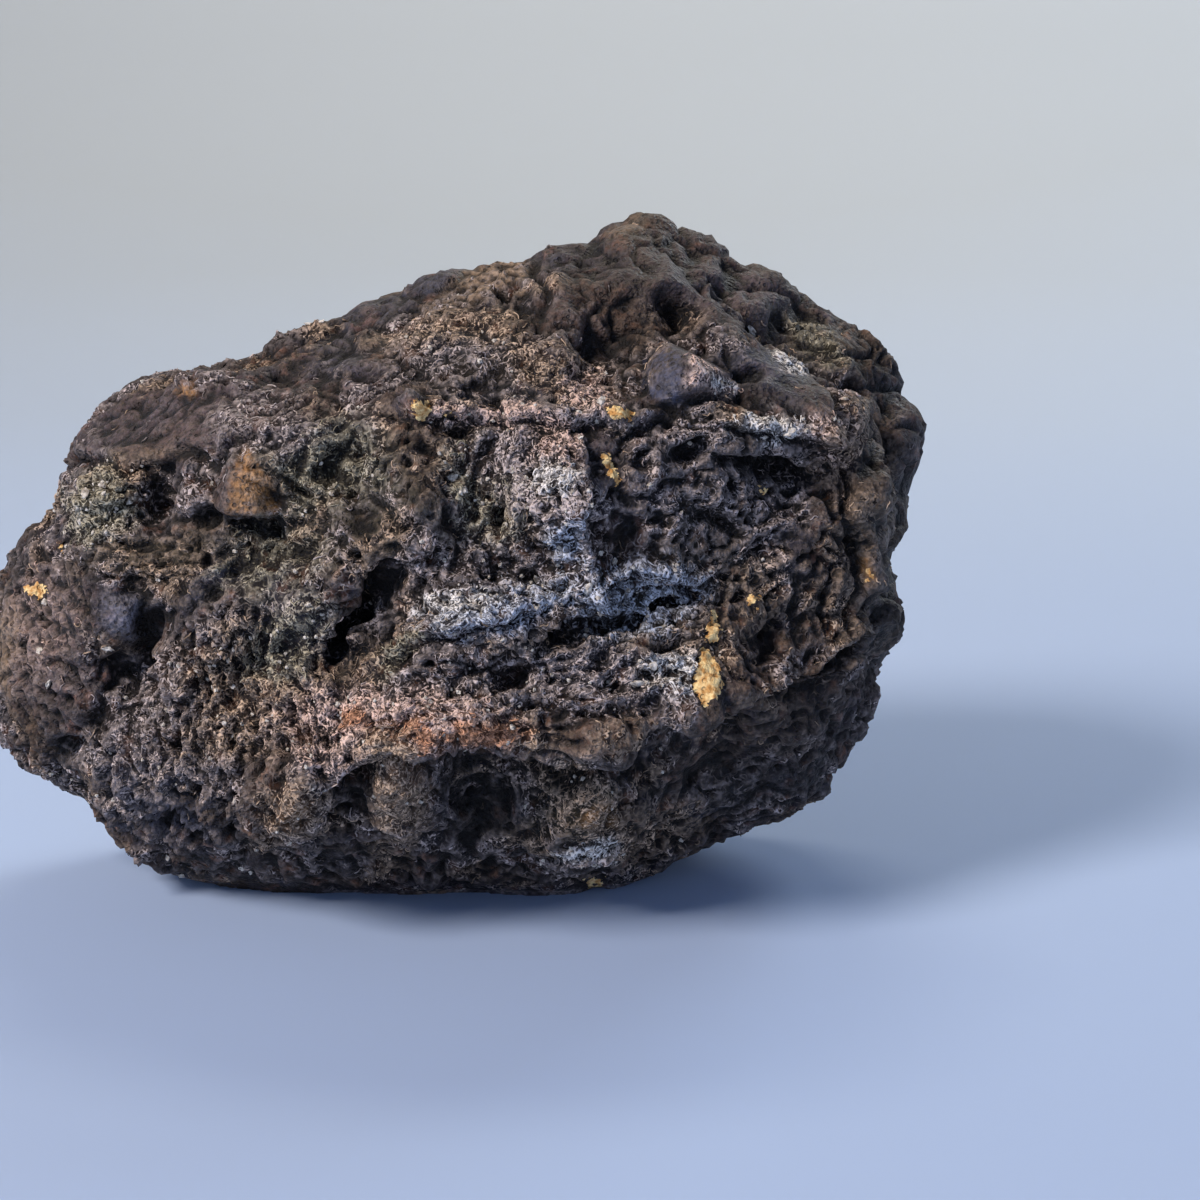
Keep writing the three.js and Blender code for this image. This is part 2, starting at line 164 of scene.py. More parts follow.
# Each form is a name, across, up, half its length, half its width, its turn in degrees, how far it rises
# (or sinks, if negative), and how crisp its edge is, from 0 to 1.
FORMS = [
    ("hollow beside the cheek", -60.4, 14.0, 6.4, 2.6, 80, -4.0, 0.4),
    ("hollow right of it", -50.6, 10.4, 3.2, 2.2, 5, -4.0, 0.4),
    ("shade under the ochre boss", -41.0, 8.6, 6.6, 2.0, 0, -4.2, 0.4),
    ("left furrow", -62.4, -15.6, 10.4, 2.0, 98, -5.0, 0.5),
    ("nose pocket", -78.0, -35.2, 3.8, 2.4, -5, -5, 0.6),
    ("pit under the ridge", -69.8, -38.4, 2.6, 1.6, 80, -3.5, 0.7),
    ("pit", -56.2, -35.4, 1.8, 1.4, 0, -3, 0.6),
    ("pit", -58.2, -49.0, 2.4, 1.6, 60, -3.2, 0.6),
    ("pit", -53.6, -45.0, 2.0, 1.4, 80, -3, 0.6),
    ("pit", -45.8, -51.6, 1.8, 1.2, 70, -2.6, 0.6),
    ("pit", -71.6, -50.0, 1.2, 1.0, 0, -2, 0.6),
    ("slanting pit", -44.0, -57.2, 3.0, 1.4, -22, -3, 0.6),
    ("pocket in the bay", -25.0, 21.0, 6.0, 2.6, 30, -2.6, 0.1),
    ("pocket in the bay", -7.0, 24.0, 2.4, 4.6, 70, -2.6, 0.1),
    ("pocket in the bay", -10.0, 9.0, 5.0, 2.6, -15, -3.2, 0.3),
    ("pocket in the bay", -30.0, 4.0, 4.0, 2.4, 40, -2.6, 0.3),
    ("pocket by the rib", 6.4, 24.6, 3.6, 1.8, 60, -2.4, 0.1),
    ("pocket by the rib", 8.0, 12.0, 4.2, 1.6, 70, -2.2, 0.1),
    ("cleft, left side", -21.6, -11.2, 7.6, 2.0, 58, -7, 0.5),
    ("cleft, right side", -14.8, -14.6, 3.6, 1.6, 58, -6, 0.5),
    ("lump in the cleft", -19.0, -14.0, 4.6, 1.4, 58, 4.5, 0.4),
    ("hollow over the cleft", -15.2, -2.2, 4.4, 3.4, 30, -4, 0.4),
    ("little cave with a chip", 14.4, -1.4, 2.8, 1.6, 5, -4, 0.7),
    ("slot", 6.0, -12.8, 2.4, 0.9, -5, -2, 0.6),
    ("brown recess", 11.0, -21.4, 5.0, 2.4, 14, -3.0, 0.2),
    ("dark slope", 19.2, -13.6, 5.2, 2.2, 34, -3.6, 0.4),
    ("upper groove", 31.8, -3.6, 3.4, 1.2, 20, -3.4, 0.5),
    ("right groove", 43.6, -3.4, 3.2, 1.4, -20, -3, 0.5),
    ("lower groove", 28.0, -11.6, 7.4, 2.0, 6, -3.6, 0.3),
    ("dark slant", 38.0, -8.6, 5.6, 1.6, 28, -3, 0.4),
    ("black pocket", 42.4, -15.0, 3.6, 2.0, 8, -4, 0.5),
    ("hollow under the right ledge", 61.6, 20.0, 9.6, 2.4, -12, -5.5, 0.5),
    ("hollow left of it", 46.0, 23.6, 5.2, 2.2, 20, -4, 0.4),
    ("hollow under the block", 45.6, 30.6, 7.0, 1.8, -6, -3.2, 0.5),
    ("dark dip", 52.0, 10.0, 6.0, 3.0, -30, -3, 0.3),
    ("dark dip", 62.0, 4.0, 5.0, 3.0, 40, -2.6, 0.3),
    ("dark dip", 64.0, -12.0, 6.0, 3.0, 50, -2.6, 0.3),
    ("crater", -2.2, 38.4, 1.5, 0.9, 0, -4, 0.9),
    ("crater rim", -2.2, 38.2, 3.2, 2.0, 0, 1.3, 0.5),
    ("crest hole", 9.2, 55.0, 1.6, 1.4, 0, -3.6, 0.8),
    ("round hole", -47.6, 37.0, 1.0, 0.8, 0, -2.6, 0.8),
    ("dark basin", 30.0, 44.6, 7.0, 5.0, 0, -2.0, 0.1),
    ("rough recess on the roof", 43.2, 51.8, 5.6, 3.6, -5, -3.4, 0.5),
    ("gap beside the block", 57.4, 37.6, 2.8, 1.8, -20, -4.4, 0.5),
    ("dimple", 59.0, 48.6, 2.2, 1.2, 0, -2.2, 0.6),
    ("dimple", 25.0, 61.4, 1.8, 1.0, 20, -2.2, 0.6),
    ("gap in the scales", 79.2, 36.2, 3.2, 1.6, -45, -4, 0.5),
    ("black recess under the brow", 4.0, -44.4, 8.6, 7.0, 80, -4.0, 0.1),
    ("recess right of it", 17.0, -40.6, 9.0, 2.6, 4, -3.4, 0.3),
    ("under the right brow", 52.0, -33.6, 12.0, 3.4, 12, -3.4, 0.3),
    ("mossy pits", 71.0, 45.0, 5.4, 1.6, -35, -3, 0.4),
    ("mossy pits", 64.0, 50.0, 3.0, 1.4, -40, -2.4, 0.4),
    ("seam", -64.0, 5.0, 8.6, 1.2, 3, -1.4, 0.3),
    ("seam", -58.0, 1.6, 7.8, 1.1, 8, -1.3, 0.3),
    ("seam", -64.0, -1.6, 8.4, 1.2, -5, -1.4, 0.3),
    ("green cheek", -73.6, 13.6, 6.4, 5.0, 80, 1.8, 0.3),
    ("orange pebble", -8.4, 32.0, 2.6, 2.0, 80, 2.0, 0.7),
    ("pinkish knob on the ledge", -0.4, 30.2, 2.6, 1.8, 20, 1.6, 0.6),
    ("pebble behind the crest", -4.6, 57.4, 6.0, 1.8, 22, 1.5, 0.5),
    ("second pebble", -17.0, 52.4, 5.0, 1.6, 20, 0.9, 0.5),
    ("pebble by the summit", 20.4, 63.2, 5.4, 1.8, 8, 1.3, 0.5),
    ("summit dome", 36.4, 66.0, 9.0, 4.2, 0, 1.0, 0.5),
    ("dome beside it", 50.4, 64.0, 5.4, 2.2, -24, 1.8, 0.5),
    ("knob on the roof", 50.0, 59.0, 3.4, 2.6, 20, 1.8, 0.5),
    ("knob on the roof", 62.0, 56.0, 5.0, 2.6, -24, 1.6, 0.5),
    ("chunk under the summit", 21.6, 55.4, 6.0, 4.2, 10, 2.4, 0.4),
    ("bulge of the brow", 28.4, -33.4, 7.4, 3.2, 14, 3.0, 0.5),
    ("bulge of the right brow", 46.0, -28.6, 6.0, 2.6, 14, 2.0, 0.4),
    ("lower left boss", -33.6, -47.4, 7.6, 6.6, 0, 2.4, 0.4),
    ("slate ridge", -49.2, -1.6, 7.4, 2.0, 44, 2.6, 0.4),
    ("grey boss", -34.0, -10.0, 6.0, 4.0, 60, 2.0, 0.3),
    ("pale spot", -0.4, 17.4, 2.6, 3.0, 70, 1.6, 0.4),
    ("small orange peak", -55.0, 36.8, 1.8, 1.2, 0, 1.6, 0.5),
    ("scale", 82.4, 15.0, 4.4, 2.6, 85, 2.8, 0.6),
    ("scale", 88.0, 26.0, 7.2, 3.4, 80, 2.2, 0.5),
    ("scale", 81.2, -1.0, 4.8, 2.2, 85, 2.2, 0.6),
    ("scale", 85.2, -10.4, 6.0, 2.8, 85, 2.0, 0.5),
    ("big right lobe", 76.0, 28.0, 7.0, 5.4, -50, 2.2, 0.5),
    ("threaded lump", 24.4, -49.0, 9.2, 7.2, 20, 2.4, 0.3),
    ("white crust", 26.4, -56.6, 6.4, 1.8, 10, 1.5, 0.7),
    ("column", -12.0, -46.0, 7.6, 5.6, 80, 2.0, 0.3),
    ("fold beside the column", -22.0, -34.0, 7.0, 2.6, 70, 1.6, 0.3),
]

# Some forms have flat faces. Each is how far it may rise, how plain its faces are, from 0 to 1, and the
# faces: a place on a face's foot, across and up, the way it looks in degrees, and its rise for each mm
# inwards.
FACETED = [
    ("ochre boss", 3.0, 0.3, [(-49.4, 17.0, 170, 0.6), (-39.4, 18.6, 33, 0.75), (-41.0, 11.2, -88, 2.0)]),
    ("slate block", 4.6, 0.9,
     [(36.6, 40.0, 186, 0.52), (56.8, 35.8, -14, 0.36), (39.2, 43.8, 140, 1.3), (48.0, 42.8, 64, 0.9),
      (45.0, 33.2, -86, 2.6)]),
    ("slab right of the block", 2.6, 0.7,
     [(53.4, 40.0, 186, 0.9), (60.6, 44.6, 62, 0.5), (60.6, 32.8, -118, 1.4), (75, 32, -20, 0.5)]),
    ("blue knob", 3.6, 0.8,
     [(-71.6, -8.8, 176, 0.7), (-61.6, -9.0, -4, 2.4), (-66.0, -5.0, 84, 1.0), (-66.6, -19.0, -92, 0.3)]),
    ("block on the roof", 2.4, 0.7, [(36.8, 57.4, 150, 0.8), (45.6, 58.4, 40, 0.7), (41.0, 54.0, -100, 1.4)]),
    ("step on the roof", 2.2, 0.6,
     [(14.0, 51.2, 200, 0.8), (24.0, 53.0, 20, 0.8), (19, 57.4, 80, 0.8), (19.0, 48.4, -84, 1.6)]),
]

# Edges run through points across and up, left to right. A ledge stands up by its first number over its
# second, and drops by its third over its fourth just below.
LEDGES = [
    ("ledge", 1.9, 2.4, 2.2, 2.6,
     [(-12.4, 31.2), (-8.6, 30.6), (-5.6, 31.4), (0, 30), (4, 31.4), (9, 30), (16, 31.4), (23, 29.8),
      (28, 30.8), (33, 28), (38, 30.2), (44, 30.6), (52, 28.8), (60, 28.4), (68, 26.8), (74.4, 24.4)]),
    ("brow", 1.8, 3.5, 4.8, 4.6,
     [(-21.6, -40), (-15, -36.4), (-9, -38), (-3, -35.8), (4, -35.0), (12, -36.4), (20, -38.2), (27, -37.6),
      (32, -34.2), (38, -31.4), (46, -29), (56, -26.6), (64, -24), (72, -20), (79.2, -14)]),
    ("facet's lower edge", 0.8, 3.0, 1.8, 3.0,
     [(-77, 22.0), (-72, 23.4), (-66, 20.8), (-60, 22), (-54, 25), (-49, 22.6), (-45, 26)]),
    ("lower lip of the pale band", 1.2, 2.4, 2.4, 2.6,
     [(-18, -20), (-12, -16.4), (-5, -12.4), (2, -11.6), (9, -10.8), (16, -7.4)]),
]

# Ridges and creases: how far they stand up or cut in, how wide, and their points.
RIDGES = [
    ("left ridge", 1.9, 1.0,
     [(-76, -27.6), (-74.0, -31.2), (-72.8, -37.4), (-69, -45.8), (-65.8, -51.2), (-59.8, -58.2)]),
    ("short ridge", 1.5, 0.9, [(-67.6, -36.4), (-67, -43), (-63.6, -49.6)]),
    ("low ridge", 1.6, 1.1, [(-53, -39), (-50, -45), (-47.6, -52), (-42.4, -58.4)]),
    ("ring of the boss", 1.3, 0.9, [(-41.6, -48), (-40, -42.4), (-34.6, -39.8), (-28, -42)]),
    ("curl", 1.4, 0.8, [(-55.4, -24), (-55, -18.6), (-51.4, -15.4), (-46, -16.2)]),
    ("curl", 1.4, 0.8, [(-49.6, -33), (-49, -26), (-45, -21.6), (-39.6, -22.2), (-37, -26.4)]),
    ("curl", 1.3, 0.8, [(-43.4, -33.4), (-40.4, -29), (-35, -30.2), (-34, -35)]),
    ("vine", 1.2, 0.7, [(-31, -18), (-30.4, -27), (-28.6, -35)]),
    ("vine", 1.1, 0.7, [(-26, -21), (-25.4, -29), (-24.6, -36)]),
    ("upper twist", 2.0, 1.1, [(25, -5.6), (29, -3.2), (34.6, 1.2), (41, 0), (47, -1.6)]),
    ("middle twist", 1.6, 0.9, [(27.4, -7.2), (34, -6.6), (40, -4.4), (42.6, 0)]),
    ("lower twist", 1.6, 1.0, [(37.2, -11.4), (42.4, -7.8), (48, -8.6), (49.6, -11.6)]),
    ("long twist", 1.4, 1.0, [(13.6, -15.4), (22, -16.4), (31, -14.8), (40, -17.6), (46.6, -20.8)]),
    ("low twist", 1.3, 1.0, [(0, -23), (8, -26), (18, -25.6), (28, -27.4), (38, -24.4)]),
    ("rib's left edge", 1.4, 1.2, [(12.6, 28), (11, 20), (12.4, 11), (10, 4), (14, 1.6)]),
    ("rib's right edge", 1.8, 1.2, [(24, 27), (25, 20), (22.8, 12), (25, 4), (28, -6)]),
    ("scale rim", 1.6, 0.9, [(76.4, 35.6), (81.6, 30), (84, 23), (83.2, 16)]),
    ("scale rim", 1.6, 0.9, [(72, 27), (77, 22.8), (79.4, 16.4), (77.6, 9.6)]),
    ("scale rim", 1.6, 0.9, [(79.6, 10.8), (83.6, 6), (82.4, -3), (84, -8.4), (81.2, -16), (77.6, -20.4)]),
    ("scale rim", 1.3, 0.9, [(70, 14), (74.4, 8), (75.4, 0), (73, -8)]),
    ("crease", -3.2, 1.1, [(59.6, 50), (68, 45), (75, 39), (80.4, 32.4), (85.2, 26), (84.8, 19)]),
    ("crease", -2.6, 1.0, [(75, 26), (78, 20), (77.2, 10), (79.6, 2), (78, -8), (78.4, -16)]),
    ("crease", -1.3, 1.2, [(24.6, 55), (27, 49), (26, 42), (30, 37)]),
    ("crease", -2.2, 1.0, [(50.6, 56), (56, 52.6), (62, 47), (70, 41), (75, 34)]),
    ("crease", -1.8, 0.9, [(14.6, 59.4), (18, 53), (15, 47.6)]),
]

# The rough stone is drawn out like dough in places: across, up, half length, half width, turn, which way
# it runs in degrees, how long and how wide its folds are, and how high.
DRAWN_OUT = [
    (-46, -30, 20, 24, 0, 97, 11, 2.6, 3.0), (-58, -46, 14, 12, 0, -58, 11, 2.6, 3.0),
    (-66, 2.4, 16, 5, 0, 3, 10, 1.3, 1.1), (-84, -14, 9, 18, 0, -50, 9, 3.0, 1.4),
    (20, -12, 34, 12, 0, 8, 8, 2.2, 2.0), (8, -30, 34, 7, 0, -4, 9, 1.8, 1.3),
    (56, 8, 20, 20, 0, 24, 6, 2.0, 0.7), (18, 15, 8, 14, 0, 86, 8, 1.8, 1.1),
    (62, -32, 24, 10, 24, 26, 10, 2.4, 0.6), (-82, -26, 10, 14, 0, -40, 7, 2.0, 1.3),
]

# Fresh chips, flat and crisp: the corners of each, across and up.
CHIPS = [
    [(48.0, -15.6), (50.6, -14.8), (51.6, -19.4), (53.6, -23.2), (50.8, -26.2), (48.6, -27.8), (46.8, -23.4)],
    [(50.4, -8.2), (52.4, -12.0), (51.0, -14.6), (49.0, -14.2)],
    [(29.2, 32.4), (31.2, 33.0), (34.8, 31.8), (34.0, 29.8), (30.4, 30.0)],
    [(28.2, 23.8), (29.8, 23.2), (32.6, 18.0), (31.4, 16.8), (29.4, 19.2)],
    [(-86.8, -3.2), (-84.0, -2.4), (-82.4, -4.4), (-84.4, -5.8), (-86.8, -5.2)],
    [(59.2, 16.8), (61.8, 16.2), (60.8, 14.4)],
    [(57.4, -5.0), (60.2, -5.2), (59.4, -7.6), (57.8, -7.4)],
    [(24.6, -62.0), (29.2, -61.6), (28.8, -63.2), (25.6, -63.6)],
    [(81.0, 1.8), (82.4, 0.8), (81.8, -3.0), (80.8, -2.0)],
    [(-80.6, 5.8), (-79.6, 5.4), (-79.4, 3.4), (-80.2, 3.6)],
    [(-9.6, 33.6), (-7.6, 34.2), (-6.0, 32.8), (-5.8, 30.4), (-7.6, 29.6), (-9.4, 31.0)],
    [(-3.4, 31.7), (-0.6, 31.4), (-0.4, 30.3), (-3.2, 30.6)],
]

# Where the stone is worn smooth: across, up, half its length, half its width, turn, and how smooth.
WORN = [
    (-56, 29, 20, 7, 8, 0.8), (-84, -14, 10, 16, 0, 0.7), (-66, -9.6, 5, 4.5, 0, 0.8),
    (45, 38.6, 8, 5.4, -14, 0.95), (38, 64, 19, 11, 0, 0.92), (62, 54, 22, 10, -32, 0.75),
    (64, 37, 11, 5.6, -24, 0.75), (26, 50, 12, 8, 0, 0.6), (86, 10, 9, 34, 0, 0.8),
    (-41, 18, 5.5, 7, 0, 0.6), (-92, -8, 8, 22, 0, 0.5), (3, -46, 7, 11, 0, 0.25),
    (30, -33, 9, 3.6, 14, 0.3), (62, -38, 24, 10, 24, 0.45), (-11, -46, 7, 9, 0, 0.4),
    (-50, -62, 30, 5, 0, 0.4), (-4, 57, 8, 3, 22, 0.9), (-17, 52, 8, 3, 20, 0.8), (20, 63, 7, 3, 8, 0.9),
    (-28, 41, 14, 5, 20, 0.35),
]


def seen(points):
    """Where the eye sees points: across, up, and away from the outline's plane."""
    from_middle = points - MIDDLE
    away = from_middle @ AWAY
    spread = (EYE_DISTANCE + away) / EYE_DISTANCE
    across = FACES[0] + (from_middle @ RIGHT - FACES[0]) / spread
    up = FACES[1] + (from_middle @ UP - FACES[1]) / spread
    return across, up, away


def ease(low, high, values):
    """0 below low, 1 above high, and a soft rise between them."""
    share = np.clip((values - low) / (high - low), 0, 1)
    return share * share * (3 - 2 * share)


LOTS = 4096  # a power of two, so that & finds any cell's lot
NO_GRAIN = 9.0  # how far off a grain is that isn't there, in grains
dice = np.random.default_rng(7)
SHUFFLE = dice.permutation(LOTS)
SLOPES = dice.normal(size=(LOTS, 3))
SLOPES /= np.linalg.norm(SLOPES, axis=1)[:, None]
SPOTS = dice.random((LOTS, 3))
ODDS = dice.random(LOTS)


def lot(cells):
    """One fixed lot for each cell of space."""
    first = SHUFFLE[cells[:, 0] & (LOTS - 1)]
    second = SHUFFLE[(first + cells[:, 1]) & (LOTS - 1)]
    return SHUFFLE[(second + cells[:, 2]) & (LOTS - 1)]


def swells(points, size, kind=0):
    """Soft swells and dips from about -1 to 1, as wide as size."""
    place = points / size + 13.7 * kind
    cells = np.floor(place).astype(np.int64)
    inside = place - cells
    soft = inside**3 * (inside * (inside * 6 - 15) + 10)
    height = np.zeros(len(points))
    for i in (0, 1):
        for j in (0, 1):
            for k in (0, 1):
                corner = np.array((i, j, k))
                slope = SLOPES[lot(cells + corner)]
                share = np.prod(np.where(corner, soft, 1 - soft), axis=1)
                height += share * (slope * (inside - corner)).sum(axis=1)
    return 1.6 * height


def crests(points, size, kind=0):
    """Sharp crests with hollows between them, from 0 in a hollow to 1 on a crest."""
    return (1 - np.minimum(1, 1.7 * np.abs(swells(points, size, kind)))) ** 1.4


def grains(points, size, kind=0, share=1.0):
    """How far the two nearest grains of a loose packing are. Cells above the share hold none."""
    place = points / size + 7.3 * kind
    cells = np.floor(place).astype(np.int64)
    nearest = np.full(len(points), NO_GRAIN)
    second = np.full(len(points), NO_GRAIN)
    for i in (-1, 0, 1):
        for j in (-1, 0, 1):
            for k in (-1, 0, 1):
                cell = cells + (i, j, k)
                drawn = lot(cell)
                far = np.linalg.norm(cell + SPOTS[drawn] - place, axis=1)
                far[ODDS[drawn] > share] = NO_GRAIN
                second = np.minimum(second, np.maximum(nearest, far))
                nearest = np.minimum(nearest, far)
    return nearest * size, second * size


def turned(across, up, middle_across, middle_up, turn):
    """Places along and beside a direction, from a middle."""
    angle = math.radians(turn)
    right = across - middle_across
    above = up - middle_up
    along = right * math.cos(angle) + above * math.sin(angle)
    beside = above * math.cos(angle) - right * math.sin(angle)
    return along, beside


def patch_reach(across, up, patch):
    """How far a place is from a patch's middle, where 1 is its rim."""
    middle_across, middle_up, half_length, half_width, turn = patch
    along, beside = turned(across, up, middle_across, middle_up, turn)
    return np.hypot(along / half_length, beside / half_width)


def flat_faced(across, up, most, faces):
    """How far a form with flat faces rises at each place."""
    height = np.full(len(across), most)
    for foot_across, foot_up, looks, climb in faces:
        angle = math.radians(looks)
        inwards = (foot_across - across) * math.cos(angle) + (foot_up - up) * math.sin(angle)
        height = np.minimum(height, climb * inwards)
    return np.maximum(height, 0)


def inside(across, up, corners):
    """How far inside the outline through the corners each place is, and below 0 outside it."""
    depth = np.full(len(across), 1e3)
    middle = np.mean(corners, axis=0)
    for (from_across, from_up), (to_across, to_up) in zip(corners, corners[1:] + corners[:1]):
        length = math.hypot(to_across - from_across, to_up - from_up)
        out = ((to_up - from_up) / length, (from_across - to_across) / length)
        if (from_across - middle[0]) * out[0] + (from_up - middle[1]) * out[1] < 0:
            out = (-out[0], -out[1])
        depth = np.minimum(depth, (from_across - across) * out[0] + (from_up - up) * out[1])
    return depth


def line_reach(across, up, points):
    """How far a place is from a line of points, and on which side: above is positive."""
    nearest = np.full(len(across), 1e3)
    side = np.ones(len(across))
    for (from_across, from_up), (to_across, to_up) in zip(points, points[1:]):
        step = (to_across - from_across, to_up - from_up)
        length = step[0] ** 2 + step[1] ** 2
        right = across - from_across
        above = up - from_up
        share = np.clip((right * step[0] + above * step[1]) / length, 0, 1)
        far = np.hypot(right - share * step[0], above - share * step[1])
        closer = far < nearest
        nearest = np.where(closer, far, nearest)
        side = np.where(closer, np.sign(step[0] * above - step[1] * right), side)
    return nearest, side


def mesh_arrays(mesh):
    """A mesh's points in mm and the directions they face."""
    points = np.empty(len(mesh.vertices) * 3)
    facing = np.empty(len(mesh.vertices) * 3)
    mesh.vertices.foreach_get("co", points)
    mesh.vertex_normals.foreach_get("vector", facing)
    return points.reshape(-1, 3) * 1000, facing.reshape(-1, 3)


def with_modifiers(thing):
    """The thing's mesh once its modifiers have been worked in."""
    ready = thing.evaluated_get(bpy.context.evaluated_depsgraph_get())
    mesh = bpy.data.meshes.new_from_object(ready)
    thing.modifiers.clear()
    thing.data = mesh
    return mesh


solid = bpy.data.objects["geode"]
body = bpy.data.objects.new("geode_stone", solid.data.copy())
body.data.materials.clear()
bpy.context.collection.objects.link(body)
joining = body.modifiers.new("joining", "WELD")
joining.merge_threshold = 0.00002
rounding = body.modifiers.new("rounding", "SUBSURF")
rounding.levels = 1
regrain = body.modifiers.new("regrain", "REMESH")
regrain.mode = "VOXEL"
regrain.voxel_size = GRAIN / 1000
softening = body.modifiers.new("softening", "SMOOTH")
softening.factor = 0.5
softening.iterations = 6
stone_mesh = with_modifiers(body)
points, facing = mesh_arrays(stone_mesh)

# How worn, how scaly and how much in front each point is.
across, up, away = seen(points)
in_front = ease(-0.1, 0.25, -(facing @ AWAY))
worn = ease(0.1, 0.6, swells(points, 24, 1)) * (1 - in_front)
for *patch, amount in WORN:
    reach = patch_reach(across + 1.5 * swells(points, 8, 31), up + 1.5 * swells(points, 8, 32), patch)
    worn = np.maximum(worn, in_front * amount * (1 - ease(0.6, 1.3, reach)))
rough = 1 - worn
in_sight = 0.85 + 0.15 * in_front

# Named forms, with their places a little shaken so that no rim is a true oval.
shake_across = 1.2 * swells(points, 7, 2) + 0.7 * swells(points, 3, 3)
shake_up = 1.2 * swells(points, 7, 4) + 0.7 * swells(points, 3, 5)
shaken_across = across + shake_across
shaken_up = up + shake_up
rise = np.zeros(len(points))
drawn_out = np.zeros(len(points))
for name, *patch, height, crisp in FORMS:
    reach = patch_reach(shaken_across, shaken_up, patch)
    rise += in_front * height * (1 - ease(0.75 * crisp, 1.35, reach))
carved = np.zeros(len(points))
for name, most, plain, faces in FACETED:
    stands = in_front * flat_faced(across + 0.2 * shake_across, up + 0.2 * shake_up, most, faces)
    rise += stands
    carved = np.maximum(carved, plain * ease(0.1, 0.8, stands))
for name, up_by, up_over, down_by, down_over, line in LEDGES:
    far, side = line_reach(shaken_across, shaken_up, line)
    uneven = 1 + 0.6 * swells(points, 9, 33)
    beyond = ease(-0.6, 0.3, far * side)
    stands = beyond * up_by * np.exp(-((far / up_over) ** 2))
    drops = (1 - beyond) * down_by * np.exp(-((far / down_over) ** 2))
    rise += in_front * uneven * (stands - drops)
for name, height, width, line in RIDGES:
    far, side = line_reach(across + 0.6 * shake_across, up + 0.6 * shake_up, line)
    rise += in_front * (1 + 0.5 * swells(points, 6, 34)) * height * np.exp(-((far / width) ** 2))
for *patch, runs, fold_length, fold_width, height in DRAWN_OUT:
    over = in_front * (1 - ease(0.6, 1.2, patch_reach(shaken_across, shaken_up, patch)))
    along, beside = turned(shaken_across, shaken_up, 0, 0, runs)
    drawn = np.column_stack((along / fold_length, beside / fold_width, away / fold_width))
    drawn_out = np.maximum(drawn_out, over)
    near = grains(drawn, 1, 62, 0.75)[0]
    rise += over * (height * (crests(drawn, 1, 35) - 0.35) - 1.8 * (1 - ease(0.18, 0.4, near)))

# The rough stone between the named forms, where it has lobes and where it crumbles. Every size below is
# the distance from one lump or pit to the next.
bent = points + 2.0 * np.column_stack([swells(points, 5.5, kind) for kind in (36, 37, 38)])
lobed = np.maximum(ease(62, 78, across), 0.3 * (1 - in_front))
lobed = np.maximum(lobed, in_front * ease(36, 46, up) * ease(20, 30, across))
lobed = np.maximum(lobed, 0.7 * in_front * ease(-70, -80, across))
crumbly = in_sight * (1 - 0.6 * lobed) * (1 - 0.7 * drawn_out)
crumbly *= 0.5 + 0.5 * ease(0.1, 0.55, np.abs(facing @ AWAY))

# Broad swells, and lobes, big and small, with creases between them.
relief = (0.4 + 0.6 * rough) * 1.4 * swells(bent, 13, 6)
for size, kind, high, deep in ((11, 1, 1.6, 2.0), (5.5, 63, 0.3, 0.7)):
    near, second = grains(bent, size, kind)
    crease = 1 - ease(0, 0.13 * size, second - near)
    lobes = high * (1 - ease(0, 0.62 * size, near)) - deep * crease * ease(-0.5, 0.2, swells(points, 9, 64))
    relief += lobed * (0.5 + 0.5 * rough) * lobes

# Terraces, then knobs from big to small.
steps = 2.4 * swells(bent, 12, 60)
relief += in_sight * (0.5 + 0.5 * rough) * 1.3 * (np.floor(steps) + ease(0.38, 0.62, steps % 1) - steps)
for size, kind, high in ((9, 7, 1.7), (4.2, 8, 0.8), (2.3, 65, 0.3)):
    relief += crumbly * rough * high * (crests(bent, size, kind) - 0.4)
relief += (0.4 + 0.6 * rough) * 0.6 * swells(bent, 5, 46)
relief += 0.18 * swells(points, 2.0, 9)

# Pits that lie close as in a sponge, fine pores, and big pits here and there.
spongy = crumbly * rough * ease(-0.35, 0.25, swells(points, 14, 12))
near, second = grains(bent, 4.8, 3, 0.75)
relief -= spongy * 2.6 * (1 - ease(0.6, 1.5, near)) * ease(0.0, 0.8, second - near)
near = grains(bent, 2.9, 4, 0.4)[0]
relief -= in_sight * (0.5 + 0.5 * rough) * 1.7 * (1 - ease(0.45, 0.9, near))
near = grains(points, 8, 2, 0.45)[0]
relief -= (0.3 + 0.7 * rough) * 2.2 * (1 - ease(0.6, 1.9, near + 0.7 * swells(points, 2, 10)))
rise += relief * (1 - carved)

# The chips' raised faces. Near the floor everything sinks back into the plain body.
for corners in CHIPS:
    depth = inside(across + 0.3 * shake_across, up + 0.3 * shake_up, corners)
    rise += in_front * 0.5 * ease(-0.2, 0.5, depth)
clear_of_floor = ease(0.5, 6, points[:, 2])
rise = np.clip(rise, DEEPEST, HIGHEST) * clear_of_floor
points = points + facing * rise[:, None]
points[:, 2] = np.where(points[:, 2] < FLAT_BELOW, 0, points[:, 2])
stone_mesh.vertices.foreach_set("co", (points / 1000).ravel())

